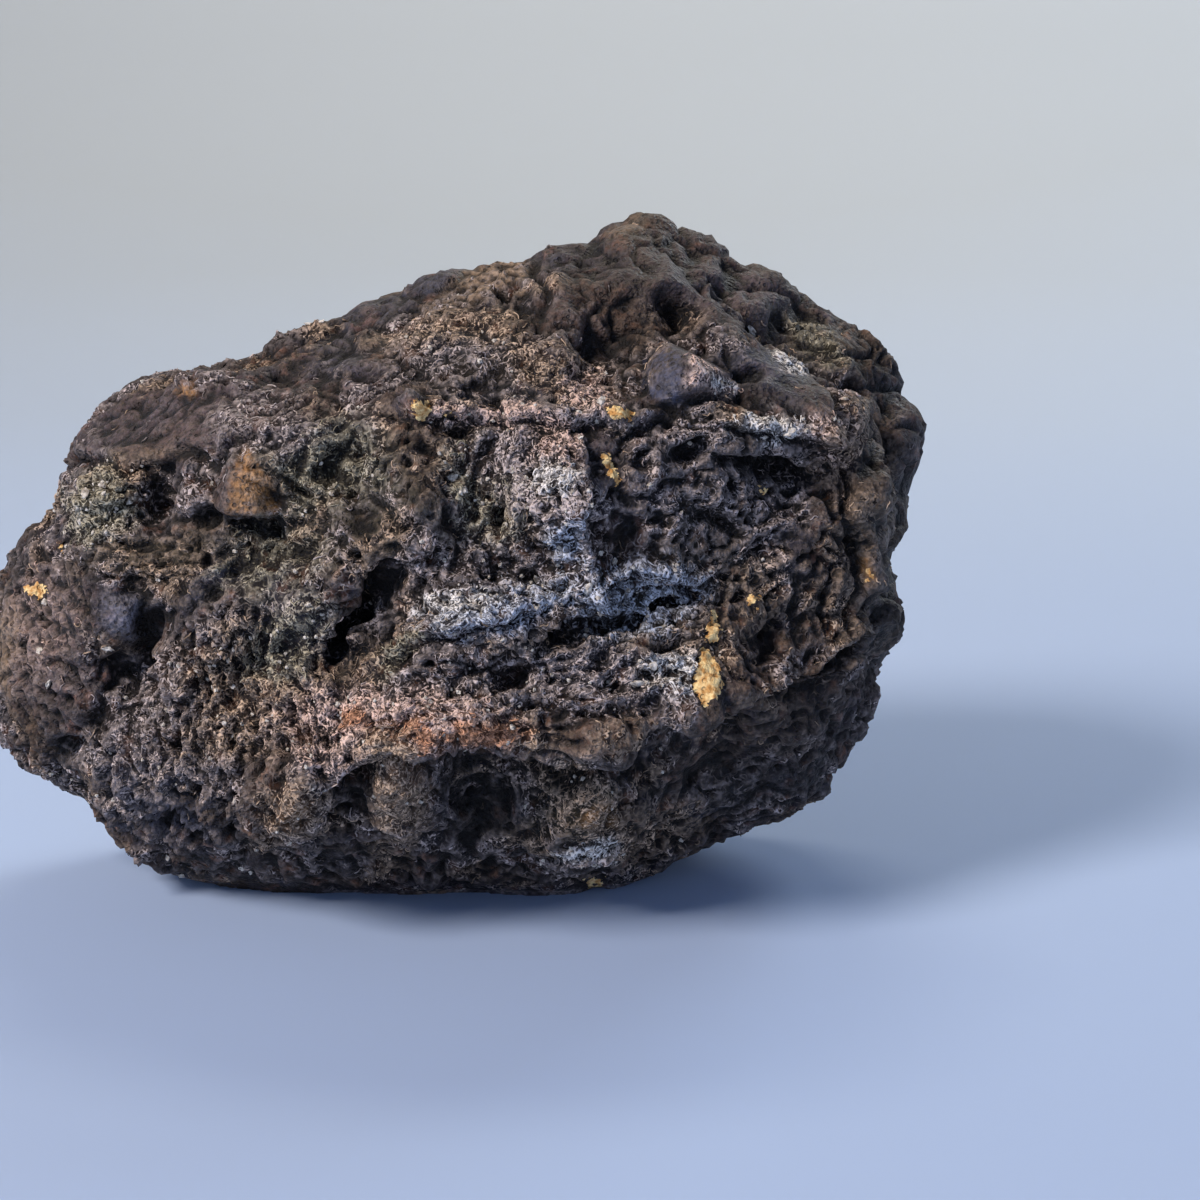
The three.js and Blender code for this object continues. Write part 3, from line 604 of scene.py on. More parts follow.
# Thin the back and the worn parts, where nothing fine is lost, more than the rough front.
keep = body.vertex_groups.new(name="keep")
kept_step = np.round(KEEP_STEPS * (0.2 + 0.8 * in_front) * (0.4 + 0.6 * rough))
for step in range(KEEP_STEPS + 1):
    keep.add(np.flatnonzero(kept_step == step).tolist(), step / KEEP_STEPS, "REPLACE")
stone_mesh.calc_loop_triangles()
thinning = body.modifiers.new("thinning", "DECIMATE")
thinning.ratio = min(1.0, MOST_FACES / len(stone_mesh.loop_triangles))
thinning.vertex_group = "keep"
thinning.invert_vertex_group = True
thinning.vertex_group_factor = 2
stone_mesh = with_modifiers(body)
body.vertex_groups.clear()
points = mesh_arrays(stone_mesh)[0]
points[:, 2] = np.maximum(points[:, 2], 0)
stone_mesh.vertices.foreach_set("co", (points / 1000).ravel())
stone_mesh.shade_smooth()

# The stone's colours: dark iron-brown and charcoal, plum on the worn roof, slate where it is polished,
# moss-green in the dips, rust and ochre where it has broken, and a pale worm-like crust over the rough.
# Black patches of painted shade lie in its hollows and under its ledges.
CHARCOAL = linear(42, 34, 34)
UMBER = linear(55, 40, 34)
BLACK = linear(9, 7, 8)
STAINS_AND_SHADOW = {
    "plum": linear(86, 72, 76),
    "slate": linear(64, 67, 83),
    "steel": linear(126, 126, 140),
    "deep slate": linear(66, 72, 95),
    "moss": linear(64, 62, 42),
    "umber": linear(85, 62, 50),
    "black": BLACK,
    "tan": linear(162, 138, 114),
    "rust": linear(150, 98, 66),
    "ochre": linear(196, 142, 82),
}
# Each stain's patches: across, up, half length, half width, turn, and how strong. Later ones lie over
# earlier ones, so a stain can come more than once. The black patches are painted shade.
STAINED_AND_SHADOWED = [
    ("plum", [
        (-56, 30, 20, 8, 8, 1.0), (-58, 31, 12, 4, 8, 0.5), (-82, -16, 11, 14, 0, 0.5),
        (-26, 36, 14, 8, 10, 0.5), (44, 58, 16, 9, -14, 0.5), (60, 54, 16, 6, -34, 0.6),
        (66, -32, 20, 9, 22, 0.35), (26, 24, 5, 7, 0, 0.6), (34, 10, 9, 9, 0, 0.35),
        (-30, -26, 12, 7, 0, 0.5)]),
    ("steel", [(-67.4, -9, 5, 4.6, 0, 0.85), (-60, -44, 11, 9, -30, 0.4)]),
    ("slate", [
        (-49, -1, 8, 3.6, 45, 0.9), (62, 40, 11, 5, -26, 0.8), (-1, 44, 10, 4, 0, 0.6),
        (-26, 42, 8, 5, 0, 0.6), (8, 34.4, 14, 3, 0, 0.8), (36, 15, 11, 7, 0, 0.4),
        (-62, -46, 12, 10, 0, 0.6), (24, -18, 14, 5, 8, 0.6), (-30, 26, 8, 6, 0, 0.6),
        (-34, -12, 8, 8, 60, 0.5), (3, -10, 14, 5, 10, 0.5), (-80, 12, 5, 10, 0, 0.4),
        (20, 62, 8, 3, 8, 0.7), (-6, 57.6, 9, 3, 22, 0.7), (-17, 52, 9, 3, 20, 0.5),
        (64, 4, 8, 8, 0, 0.4)]),
    ("moss", [
        (-72, 13, 7, 7, 0, 0.7), (-24, 16, 18, 14, 0, 0.6), (-44, 6, 14, 6, 0, 0.5),
        (70, 46, 9, 4, -34, 0.7), (48, 6, 12, 10, 0, 0.3), (22, -48, 10, 8, 0, 0.6),
        (4, 40, 12, 7, 0, 0.3), (34, -10, 12, 5, 10, 0.5), (-64, 3, 14, 4, 0, 0.5)]),
    # Black: painted shade in the hollows, grooves and gaps and under the ledges, and a darker right side.
    ("black", [
        (-60.4, 14, 6, 2.4, 80, 0.7), (-50.6, 10, 4, 2.4, 0, 0.7), (-41, 8.4, 7, 2.4, 0, 0.7),
        (4, -46, 10, 11, 0, 0.6), (18, -42, 12, 4, 0, 0.7), (20, -57, 10, 4, 0, 0.6),
        (61, 21, 12, 4.4, -10, 0.9), (46, 24, 8, 4, 10, 0.8), (52, 8, 14, 10, 0, 0.5),
        (46, 30.4, 9, 2, 0, 0.8), (64, -38, 18, 9, 20, 0.6), (42.4, -15, 5, 3, 8, 0.9),
        (-20, -12, 9, 5, 58, 0.8), (19, -14, 6, 2.8, 34, 0.8), (28, -12, 8, 2.4, 4, 0.7),
        (84, 4, 8, 28, 0, 0.7), (31, 44, 10, 7, 0, 0.75), (42, 51, 6, 4, 0, 0.6),
        (20, 50, 12, 7, 0, 0.4), (66, -24, 14, 8, 0, 0.45), (72, 30, 6, 12, 0, 0.4),
        (-78, -36, 5, 3, 0, 0.8), (-62, -16, 2.4, 9, 0, 0.6), (57.4, 37.6, 4, 2, -20, 0.8),
        (82, 34, 7, 10, -30, 0.6)]),
    ("umber", [(-12, -47, 7, 7, 0, 0.9)]),
    ("tan", [(-11, -44, 6, 8, 0, 0.5)]),
    ("umber", [
        (60, -18, 12, 8, 0, 0.6), (24, 50, 12, 9, 0, 0.7), (33, 35.6, 6, 3, 0, 0.9),
        (30, -33, 10, 4, 14, 0.9), (-34, -48, 8, 6, 0, 0.6), (-60, -19, 2.0, 7, 0, 0.8),
        (78, 28, 8, 12, 0, 0.5), (38, 66, 9, 5, 0, 0.5)]),
    ("black", [(36, 62, 14, 8, 0, 0.35)]),
    ("umber", [
        (-30, 34, 10, 4, 0, 0.4), (31, 4, 3.4, 6, 20, 0.8), (-14, -2, 6, 4, 0, 0.5),
        (-56, 25, 10, 4, 0, 0.4), (28, -11, 4, 1.6, 0, 0.8), (11, -21, 5, 3, 0, 0.7)]),
    ("tan", [
        (-92, -14, 4, 12, 0, 0.8), (0, 54.6, 10, 2.2, 25, 0.6), (7, 58.6, 9, 3, 14, 1.0),
        (-58, 23, 8, 1.6, 0, 0.4), (-14, 45, 7, 3, 20, 0.3), (33.6, 68.6, 4, 1.6, 20, 0.5)]),
    ("rust", [
        (-21, -28.6, 3.4, 2.4, 0, 0.7), (-4, -32, 16, 4.6, -4, 0.6), (5, -33.6, 7, 1.8, 0, 0.8),
        (-8.6, -30.4, 3, 1.6, 0, 0.6), (-10, -41, 4.6, 3.4, 0, 0.4), (-39, 30, 3, 2, 0, 0.3)]),
    ("ochre", [
        (-54.4, 36.8, 2.4, 1.5, 0, 0.9), (-33, -49.4, 3.4, 2.6, 0, 0.4), (81.6, -0.4, 1, 2.8, 0, 0.8),
        (26.4, -50.4, 1.6, 2.4, 0, 0.8), (31, -50, 2, 2.4, 30, 0.5)]),
    ("rust", [(-8.4, 32, 2.4, 2.2, 0, 0.9)]),
]
# Stains on the flat-faced forms keep to their faces: a name, the face's corners, and how strong it is.
FACE_STAINS = [
    ("ochre", [(-42.8, 25.0), (-35.0, 13.4), (-38.0, 10.6), (-46.8, 11.4), (-46.4, 18.4)], 0.95),
    ("umber", [(-43.6, 23.4), (-45.8, 12.4), (-49.4, 13.4), (-50.0, 19.0)], 0.6),
    ("deep slate", [(36.6, 41.8), (41.0, 45.6), (44.6, 44.0), (44.6, 33.4), (41.4, 32.8), (36.6, 36.0)], 1.0),
    ("plum", [(44.2, 44.6), (47.0, 43.8), (52.4, 40.6), (57.0, 35.6), (49, 33.0), (44.4, 33.4)], 0.6),
]
# The crust's shades, and where it lies: across, up, half length, half width, turn, how dense, and its
# shade.
CRUST_SHADES = {
    "white": linear(250, 246, 242),
    "blue": linear(212, 218, 231),
    "grey": linear(202, 188, 185),
    "rosy": linear(236, 206, 192),
    "rusty": linear(230, 172, 136),
    "tan": linear(208, 182, 158),
    "green": linear(186, 178, 156),
}
CRUSTED = [
    (-28, 22, 16, 10, 0, 0.55, "green"), (6, 16, 10, 14, 0, 0.7, "green"), (12, 24, 12, 7, 0, 0.6, "grey"),
    (8, -4, 22, 10, 4, 0.5, "grey"), (-40, 2, 14, 8, 20, 0.5, "green"), (-42, -22, 18, 14, 0, 0.75, "tan"),
    (-64, -34, 10, 14, 0, 0.55, "grey"), (-72, 13, 8, 8, 0, 0.8, "green"), (-60, 3, 16, 5, 0, 0.35, "tan"),
    (-34, -14, 12, 8, 40, 0.6, "green"), (-24, -32, 14, 10, 0, 0.7, "rosy"),
    (50, 14, 22, 12, 0, 0.45, "grey"), (56, -8, 14, 12, 0, 0.35, "tan"), (10, -22, 24, 7, 0, 0.55, "grey"),
    (36, -6, 16, 9, 10, 0.85, "blue"), (32, -20, 18, 5, -6, 0.6, "grey"), (44, -21, 8, 5, 0, 0.9, "white"),
    (18.5, 25, 7, 6, 0, 0.85, "rosy"), (18, 15, 6, 11, 92, 0.95, "grey"), (19, 19, 4, 7, 92, 0.95, "white"),
    (22, 5, 5, 6, 0, 1.0, "blue"), (18, -4, 6, 4, 0, 0.9, "blue"), (4, -8, 13, 5, 8, 1.0, "blue"),
    (0, -6.4, 8, 3, 4, 1.0, "white"), (-12, -16, 8, 3, 38, 0.7, "green"), (-0.4, 17, 4, 4, 0, 0.95, "green"),
    (-8, -29, 18, 6.4, -8, 1.0, "rosy"), (4, -33.4, 11, 2.4, 0, 0.9, "rusty"),
    (-20, -28.6, 4, 2.6, 0, 0.9, "rusty"), (-9, -33, 7, 2.6, -10, 0.85, "rusty"),
    (-16, -36, 6, 6, 0, 0.7, "tan"), (-40, 29, 12, 6, 0, 0.5, "grey"), (8, 30.6, 20, 2.6, 0, 1.0, "rosy"),
    (26, 30, 8, 2.2, 0, 0.8, "grey"), (16, 40, 17, 6, -12, 0.6, "tan"), (25, 36, 5, 5, 0, 0.85, "rosy"),
    (-2, 47, 14, 5, 20, 0.6, "tan"), (0, 40, 14, 6, 0, 0.4, "grey"), (66, 28.4, 11, 3, -6, 0.8, "white"),
    (76, 26, 7, 8, 0, 0.5, "rosy"), (23, -46, 14, 8, -35, 0.6, "tan"),
    (26.4, -56.2, 6.6, 2.2, 8, 1.0, "white"), (40, -52, 12, 7, 30, 0.4, "tan"),
    (80, 10, 8, 26, 0, 0.35, "tan"), (-84, -12, 9, 14, 0, 0.35, "rosy"), (-34, -48, 9, 8, 0, 0.6, "tan"),
    (66, 40.8, 4, 1.6, -24, 0.9, "white"), (50, 37.6, 4, 3, -20, 0.75, "rosy"),
    (70, 46, 10, 4, -34, 0.5, "green"), (60, -30, 22, 8, 24, 0.15, "tan"), (43, 51, 6, 4, 0, 0.4, "tan"),
    (-12, -46, 7, 10, 0, 0.6, "tan"), (47.6, 38.4, 3.0, 1.8, 20, 1.0, "rosy"),
    (52.0, 37.0, 3.4, 1.4, -20, 1.0, "white"), (49.0, 41.0, 3.2, 1.2, -20, 0.9, "rosy"),
    (54.0, 35.8, 1.4, 0.8, 0, 1.0, "rosy"), (-40, 16, 5, 6, 0, 0.35, "tan"),
]
points, facing = mesh_arrays(stone_mesh)
across, up, away = seen(points)
in_front = ease(-0.1, 0.2, -(facing @ AWAY)) * ease(30, 5, away)
behind = 1 - in_front


def lay(colours, amounts, colour):
    """Colours with another laid over them, by amounts."""
    return colours + amounts[:, None] * (np.array(colour) - colours)


drift_across = 2.4 * swells(points, 9, 21) + 1.4 * swells(points, 4, 39) + 0.7 * swells(points, 2, 40)
drift_up = 2.4 * swells(points, 9, 22) + 1.4 * swells(points, 4, 41) + 0.7 * swells(points, 2, 42)
mottle = 0.6 * swells(points, 3.2, 43) + 0.5 * swells(points, 1.6, 44)
stain_and_shadow = np.tile(np.array(CHARCOAL), (len(points), 1))
stain_and_shadow = lay(stain_and_shadow, ease(-0.3, 0.4, swells(points, 12, 23) + 0.4 * mottle), UMBER)
stain_and_shadow = lay(stain_and_shadow, 0.5 * ease(0.1, 0.6, swells(points, 7, 45) + 0.5 * mottle), STAINS_AND_SHADOW["slate"])
stain_and_shadow = lay(stain_and_shadow, 0.5 * ease(0.3, 0.6, swells(points, 3.6, 66) + 0.4 * mottle), STAINS_AND_SHADOW["rust"])
stain_and_shadow = lay(stain_and_shadow, behind * ease(0.15, 0.5, swells(points, 22, 24) + 0.3 * mottle), STAINS_AND_SHADOW["plum"])
stain_and_shadow = lay(stain_and_shadow, behind * 0.7 * ease(0.2, 0.6, swells(points, 15, 25) + 0.6 * mottle), STAINS_AND_SHADOW["slate"])
stain_and_shadow = lay(stain_and_shadow, behind * 0.25 * ease(0.4, 0.7, swells(points, 11, 26) + 0.6 * mottle), STAINS_AND_SHADOW["tan"])
for name, patches in STAINED_AND_SHADOWED:
    for *patch, amount in patches:
        reach = patch_reach(across + 0.8 * drift_across, up + 0.8 * drift_up, patch) + 0.35 * mottle
        stain_and_shadow = lay(stain_and_shadow, in_front * amount * (1 - ease(0.4, 1.35, reach)), STAINS_AND_SHADOW[name])
for name, corners, amount in FACE_STAINS:
    depth = inside(across, up, corners) + 0.8 * mottle
    patchy = 0.55 + 0.45 * ease(-0.5, 0.3, mottle)
    stain_and_shadow = lay(stain_and_shadow, in_front * amount * ease(-0.4, 0.5, depth) * patchy, STAINS_AND_SHADOW[name])

crust = 0.18 + 0.34 * ease(-0.3, 0.4, swells(points, 9, 20) + 0.4 * mottle)
crust = crust - behind * 0.2 * ease(0.3, -0.3, swells(points, 18, 27))
shade = np.tile(np.array(CRUST_SHADES["grey"]), (len(points), 1))
shade = lay(shade, ease(-0.1, 0.4, swells(points, 12, 28)), CRUST_SHADES["tan"])
worn = ease(0.1, 0.6, swells(points, 24, 1)) * behind
for *patch, amount in WORN:
    reach = patch_reach(across + 0.6 * drift_across, up + 0.6 * drift_up, patch)
    worn = np.maximum(worn, in_front * amount * (1 - ease(0.6, 1.3, reach)))
crust *= 1 - worn
shade_names = list(CRUST_SHADES)
family = np.where(swells(points, 12, 28) > 0.1, shade_names.index("tan"), shade_names.index("grey"))
for *patch, amount, name in CRUSTED:
    reach = patch_reach(across + drift_across, up + drift_up, patch) + 0.4 * mottle
    over = in_front * (1 - ease(0.4, 1.35, reach))
    crust = crust + over * np.maximum(0, amount - crust)
    shade = lay(shade, over, CRUST_SHADES[name])
    family = np.where(over > 0.5, shade_names.index(name), family)

chip = np.zeros(len(points))
for corners in CHIPS:
    depth = inside(across + 0.4 * swells(points, 2, 29), up + 0.4 * swells(points, 2, 30), corners)
    chip = np.maximum(chip, in_front * np.clip(0.5 + 0.5 * depth, 0, 1))
near = grains(points, 44, 5, 0.4)[0]
chip = np.maximum(chip, behind * np.clip(1.6 - near / 2.2, 0, 1))
crust = np.clip(crust * ease(0.5, 0.3, chip), 0, 1)

# How deep each point lies in a dip; the bottoms are darkened with painted shade further on.
edges = np.empty(len(stone_mesh.edges) * 2, dtype=np.int64)
stone_mesh.edges.foreach_get("vertices", edges)
edges = edges.reshape(-1, 2)
neighbours = np.bincount(edges.ravel(), minlength=len(points))


def evened(values, rounds):
    """Values averaged with their neighbours' over the mesh, again and again."""
    for _ in range(rounds):
        sums = np.bincount(edges[:, 0], values[edges[:, 1]], len(values))
        sums += np.bincount(edges[:, 1], values[edges[:, 0]], len(values))
        values = 0.5 * values + 0.5 * sums / neighbours
    return values


def depth_in_dips(rounds):
    """How far each point lies under the evened surface round it."""
    level = np.column_stack([evened(points[:, axis], rounds) for axis in range(3)])
    return ((level - points) * facing).sum(axis=1)


fine_dip = depth_in_dips(10)
broad_dip = depth_in_dips(60)
dip = ease(-0.12, 0.3, fine_dip) * 0.7 + ease(-0.6, 1.0, broad_dip) * 0.7


def keep_number(mesh, name, values):
    mesh.attributes.new(name, "FLOAT", "POINT").data.foreach_set("value", values.astype(np.float32))


def keep_colour(mesh, name, colours):
    rows = np.column_stack((colours, np.ones(len(colours)))).astype(np.float32)
    mesh.attributes.new(name, "FLOAT_COLOR", "POINT").data.foreach_set("color", rows.ravel())


dip = np.clip(dip, 0, 1)
edge = ease(0.02, -0.3, fine_dip)
keep_colour(stone_mesh, "stain_and_shadow", stain_and_shadow)
keep_colour(stone_mesh, "shade", shade)
keep_number(stone_mesh, "crust", np.clip(crust + 0.25 * mottle, 0, 1))
keep_number(stone_mesh, "chip", chip)
keep_number(stone_mesh, "worn", worn)
keep_number(stone_mesh, "dip", dip)
keep_number(stone_mesh, "edge", edge)


class Recipe:
    """A material's mixing steps, written one after another."""

    def __init__(self, name):
        self.material = bpy.data.materials.new(name)
        self.material.use_nodes = True
        self.tree = self.material.node_tree
        self.shader = self.tree.nodes["Principled BSDF"]

    def feed(self, socket, value):
        if isinstance(value, bpy.types.NodeSocket):
            self.tree.links.new(value, socket)
        elif isinstance(value, (list, tuple)) and len(value) == 3 and socket.type == "RGBA":
            socket.default_value = (*value, 1)
        else:
            socket.default_value = value

    def give(self, name, value):
        self.feed(self.shader.inputs[name], value)

    def kept(self, name, output="Fac"):
        node = self.tree.nodes.new("ShaderNodeAttribute")
        node.attribute_name = name
        return node.outputs[output]

    def places(self):
        """The surface's own places in mm."""
        coordinates = self.tree.nodes.new("ShaderNodeTexCoord")
        scale = self.tree.nodes.new("ShaderNodeVectorMath")
        scale.operation = "SCALE"
        scale.inputs["Scale"].default_value = 1000
        self.tree.links.new(coordinates.outputs["Object"], scale.inputs[0])
        return scale.outputs[0]

    def cloud(self, place, size, detail=2.0, output="Fac", shift=0.0):
        """Soft clouds as wide as size, from 0 to 1."""
        if shift:
            place = self.moved(place, (shift, shift * 0.7, -shift))
        node = self.tree.nodes.new("ShaderNodeTexNoise")
        node.inputs["Scale"].default_value = 1 / size
        node.inputs["Detail"].default_value = detail
        self.tree.links.new(place, node.inputs["Vector"])
        return node.outputs[output]

    def moved(self, place, step):
        node = self.tree.nodes.new("ShaderNodeVectorMath")
        node.operation = "ADD"
        self.feed(node.inputs[0], place)
        self.feed(node.inputs[1], step)
        return node.outputs[0]

    def cells(self, place, size):
        """How far the nearest grain of a loose packing is, in grains."""
        node = self.tree.nodes.new("ShaderNodeTexVoronoi")
        node.inputs["Scale"].default_value = 1 / size
        self.tree.links.new(place, node.inputs["Vector"])
        return node.outputs["Distance"]

    def sum(self, kind, first, second=0.0, third=0.0):
        node = self.tree.nodes.new("ShaderNodeMath")
        node.operation = kind
        self.feed(node.inputs[0], first)
        self.feed(node.inputs[1], second)
        self.feed(node.inputs[2], third)
        return node.outputs[0]

    def range(self, value, low, high, to_low=0.0, to_high=1.0):
        node = self.tree.nodes.new("ShaderNodeMapRange")
        node.interpolation_type = "SMOOTHSTEP"
        self.feed(node.inputs["Value"], value)
        self.feed(node.inputs["From Min"], low)
        self.feed(node.inputs["From Max"], high)
        self.feed(node.inputs["To Min"], to_low)
        self.feed(node.inputs["To Max"], to_high)
        return node.outputs["Result"]

    def mix(self, amount, first, second, blend="MIX"):
        node = self.tree.nodes.new("ShaderNodeMix")
        node.data_type = "RGBA"
        node.blend_type = blend
        self.feed(node.inputs[0], amount)
        self.feed(node.inputs[6], first)
        self.feed(node.inputs[7], second)
        return node.outputs[2]

    def worms(self, place, size, width):
        """Curled threads, width across, that wind about each other: 1 on a thread, 0 beside it."""
        bent = self.tree.nodes.new("ShaderNodeVectorMath")
        bent.operation = "MULTIPLY_ADD"
        self.feed(bent.inputs[0], self.cloud(place, size * 1.6, 0.0, "Color", 3))
        self.feed(bent.inputs[1], (size * 1.5, size * 1.5, size * 1.5))
        self.feed(bent.inputs[2], place)
        level = self.cloud(bent.outputs[0], size, 0.0)
        off = self.sum("ABSOLUTE", self.sum("SUBTRACT", level, 0.5))
        return self.range(off, width * 0.35, width, 1.0, 0.0)

    def bump(self, height):
        """Relief from a height in mm."""
        node = self.tree.nodes.new("ShaderNodeBump")
        node.inputs["Strength"].default_value = 1
        node.inputs["Distance"].default_value = 0.001
        self.feed(node.inputs["Height"], height)
        self.give("Normal", node.outputs["Normal"])


stone = Recipe("geode stone")
place = stone.places()
fine = stone.cloud(place, 1.1, 3.0)

# Bare stone, mottled, with painted shade in its dips and pinholes.
stained_and_shadowed = stone.kept("stain_and_shadow", "Color")
ground = stone.mix(stone.range(fine, 0.35, 0.66), stone.mix(0.7, stained_and_shadowed, BLACK), stained_and_shadowed)
pinholes = stone.range(stone.cells(place, 1.5), 0.2, 0.34, 1.0, 0.0)
# Painted shade: the dips and the pinholes are darkened towards black.
dip_shadow = stone.sum("MULTIPLY", stone.kept("dip"), 0.95)
shadow = stone.sum("MAXIMUM", dip_shadow, stone.sum("MULTIPLY", pinholes, 0.75))
ground = stone.mix(shadow, ground, BLACK)

# The crust's thin parts: pale on edges that stand out, partly worn crust and partly painted highlight,
# and drawn as curled threads between them.
dense = stone.kept("crust")
threads = stone.worms(place, 1.3, 0.1)
threads = stone.sum("MULTIPLY", threads, stone.range(dense, 0.1, 0.7, 0.08, 0.95))
# The threads fade out in the dips: painted shade.
threads = stone.sum("MULTIPLY", threads, stone.range(stone.kept("dip"), 0.2, 1.0, 1.0, 0.1))
edges_lit = stone.sum("MULTIPLY", stone.kept("edge"), stone.range(dense, 0.0, 0.8, 0.08, 0.8))
lit = stone.range(stone.cloud(place, 0.9, 1.0, "Fac", 41), 0.34, 0.68, 0.1, 1.0)
shade_there = stone.kept("shade", "Color")
crust_colour = stone.mix(lit, stone.mix(0.75, shade_there, BLACK), shade_there)
surface = stone.mix(stone.sum("MAXIMUM", threads, edges_lit), ground, crust_colour)

# Chips, with crisp, ragged rims.
ragged = stone.range(fine, 0.25, 0.75, -0.3, 0.3)
chipped = stone.range(stone.sum("ADD", stone.kept("chip"), ragged), 0.5, 0.58)
sandy = stone.range(stone.cloud(place, 1.4, 3.0, "Fac", 61), 0.36, 0.62)
ochre = stone.mix(sandy, linear(204, 150, 86), linear(255, 226, 164))
surface = stone.mix(chipped, surface, ochre)
stone.give("Base Color", surface)

# Dull crust, and a faint gleam on the worn dark stone.
sheen = stone.sum("SUBTRACT", 0.88, stone.sum("MULTIPLY", stone.kept("worn"), 0.32))
stone.give("Roughness", stone.sum("ADD", sheen, stone.range(fine, 0.3, 0.7, -0.1, 0.1)))
stone.give("Specular IOR Level", 0.35)

# Relief too fine for the mesh, in mm: grit, pinholes and the thin threads.
grit = stone.sum("MULTIPLY", stone.cloud(place, 0.8, 2.0, "Fac", 71), 0.7)
raised = stone.sum("ADD", grit, stone.sum("MULTIPLY", threads, 0.25))
stone.bump(stone.sum("SUBTRACT", raised, stone.sum("MULTIPLY", pinholes, 0.35)))
stone_mesh.materials.append(stone.material)

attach(body, "root")
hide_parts("geode")

# The crust: pale minerals that grew over the rough stone as a tangle of low, worm-like coils about a
# millimetre thick. Its rims and the gaps between its coils run under the stone's own skin. It is made in
# four parts, from left to right.
CRUST_PARTS = [("left", -40.0), ("bay", -8.0), ("middle", 27.0), ("right", 1e3)]  # and where each ends
COIL = 1.75  # how far apart the coils lie, and the fine ones between them
FINE_COIL = 0.95
LOWEST_CRUST = 1.5  # no crust grows nearer to the floor than this
THINNEST_COVER = 0.05

stone_mesh.calc_loop_triangles()
corners = np.empty(len(stone_mesh.loop_triangles) * 3, dtype=np.int64)
stone_mesh.loop_triangles.foreach_get("vertices", corners)
corners = corners.reshape(-1, 3)
cover = ease(0.15, 0.7, crust + 0.45 * mottle) * ease(0.1, 0.35, in_front)
kept_values = np.column_stack((points, facing, stain_and_shadow, shade, cover, dip, crust))


def cut_in_four(values, faces):
    """Every triangle cut in four at the middles of its edges, with its values shared out between."""
    used, faces = np.unique(faces, return_inverse=True)
    values, faces = values[used], faces.reshape(-1, 3)
    pairs = np.sort(faces[:, [0, 1, 1, 2, 2, 0]].reshape(-1, 2), axis=1)
    keys, which = np.unique(pairs[:, 0] * len(values) + pairs[:, 1], return_inverse=True)
    middles = (values[keys // len(values)] + values[keys % len(values)]) / 2
    first, second, third = faces.T
    one, two, three = (len(values) + which.reshape(-1, 3)).T
    quarters = ((first, one, three), (one, second, two), (three, two, third), (one, two, three))
    faces = np.concatenate([np.column_stack(quarter) for quarter in quarters])
    return np.concatenate((values, middles)), faces


crust_stone = Recipe("geode crust")
crust_place = crust_stone.places()
speckled = crust_stone.range(crust_stone.cloud(crust_place, 0.55, 2.0), 0.32, 0.68, 0.4, 1.4)
crust_threads = crust_stone.worms(crust_place, 1.1, 0.12)
lined = crust_stone.range(crust_threads, 0.0, 1.0, 0.48, 2.5)
patchy_lines = crust_stone.sum("MULTIPLY", speckled, lined)
crust_tone = crust_stone.sum("MULTIPLY", crust_stone.kept("tone"), patchy_lines)
crust_tone = crust_stone.range(crust_tone, 0.0, 1.0)
# Between the coils the stone's colour is darkened nearly to black: painted shade in the gaps.
gap_colour = crust_stone.mix(0.72, crust_stone.kept("stain_and_shadow", "Color"), BLACK)
crust_surface = crust_stone.mix(crust_tone, gap_colour, crust_stone.kept("shade", "Color"))
crust_stone.give("Base Color", crust_surface)
crust_stone.give("Roughness", 0.9)
crust_stone.give("Specular IOR Level", 0.25)
crust_grit = crust_stone.sum("MULTIPLY", crust_stone.cloud(crust_place, 0.5, 2.0, "Fac", 9), 0.25)
crust_stone.bump(crust_stone.sum("ADD", crust_grit, crust_stone.sum("MULTIPLY", crust_threads, 0.2)))

crusty = cover[corners].max(axis=1) > THINNEST_COVER
crusty &= points[corners][:, :, 2].min(axis=1) > LOWEST_CRUST
middles_across = across[corners].mean(axis=1)
begins = -1e3
for part, ends in CRUST_PARTS:
    chosen = crusty & (middles_across >= begins) & (middles_across < ends)
    begins = ends
    values, faces = cut_in_four(kept_values, corners[chosen])
    place, way, tint, pale = np.split(values[:, :12], 4, axis=1)
    covered, deep, rich = values[:, 12:].T
    wound = place + 1.0 * np.column_stack([swells(place, 2.4, kind) for kind in (51, 52, 53)])
    coils = 1 - np.minimum(1, 3.6 * np.abs(swells(wound, COIL, 54)))
    fine_coils = 1 - np.minimum(1, 3.2 * np.abs(swells(wound, FINE_COIL, 55)))
    near, second = grains(wound, 1.9, 58)
    walls = 1 - ease(0.0, 0.55, second - near)
    netted = ease(-0.2, 0.3, swells(place, 6, 59))
    coils = np.maximum(coils * (1 - 0.5 * netted), np.maximum(0.85 * fine_coils, walls * netted))
    crest = ease(0.4, 0.75, coils)
    height = covered * (0.12 + 0.44 * crest * (0.7 + 0.5 * swells(place, 3.4, 56))) - 0.2
    place = place + way * height[:, None]
    crust_mesh = bpy.data.meshes.new(f"geode_crust_{part}")
    crust_mesh.from_pydata((place / 1000).tolist(), [], faces.tolist())
    crust_mesh.shade_smooth()
    lit = ease(-0.6, 0.5, swells(place, 2.4, 57))
    keep_colour(crust_mesh, "stain_and_shadow", tint)
    keep_colour(crust_mesh, "shade", pale)
    film = 0.36 * ease(0.55, 1.0, rich)
    tone = np.maximum(crest * (0.15 + 1.2 * rich), film) * covered * (0.3 + 0.8 * lit)
    # The crust is darkened in the dips: painted shade.
    keep_number(crust_mesh, "tone", tone * (1 - 0.7 * deep))
    crust_mesh.materials.append(crust_stone.material)
    crust_piece = bpy.data.objects.new(f"geode_crust_{part}", crust_mesh)
    bpy.context.collection.objects.link(crust_piece)
    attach(crust_piece, "root")

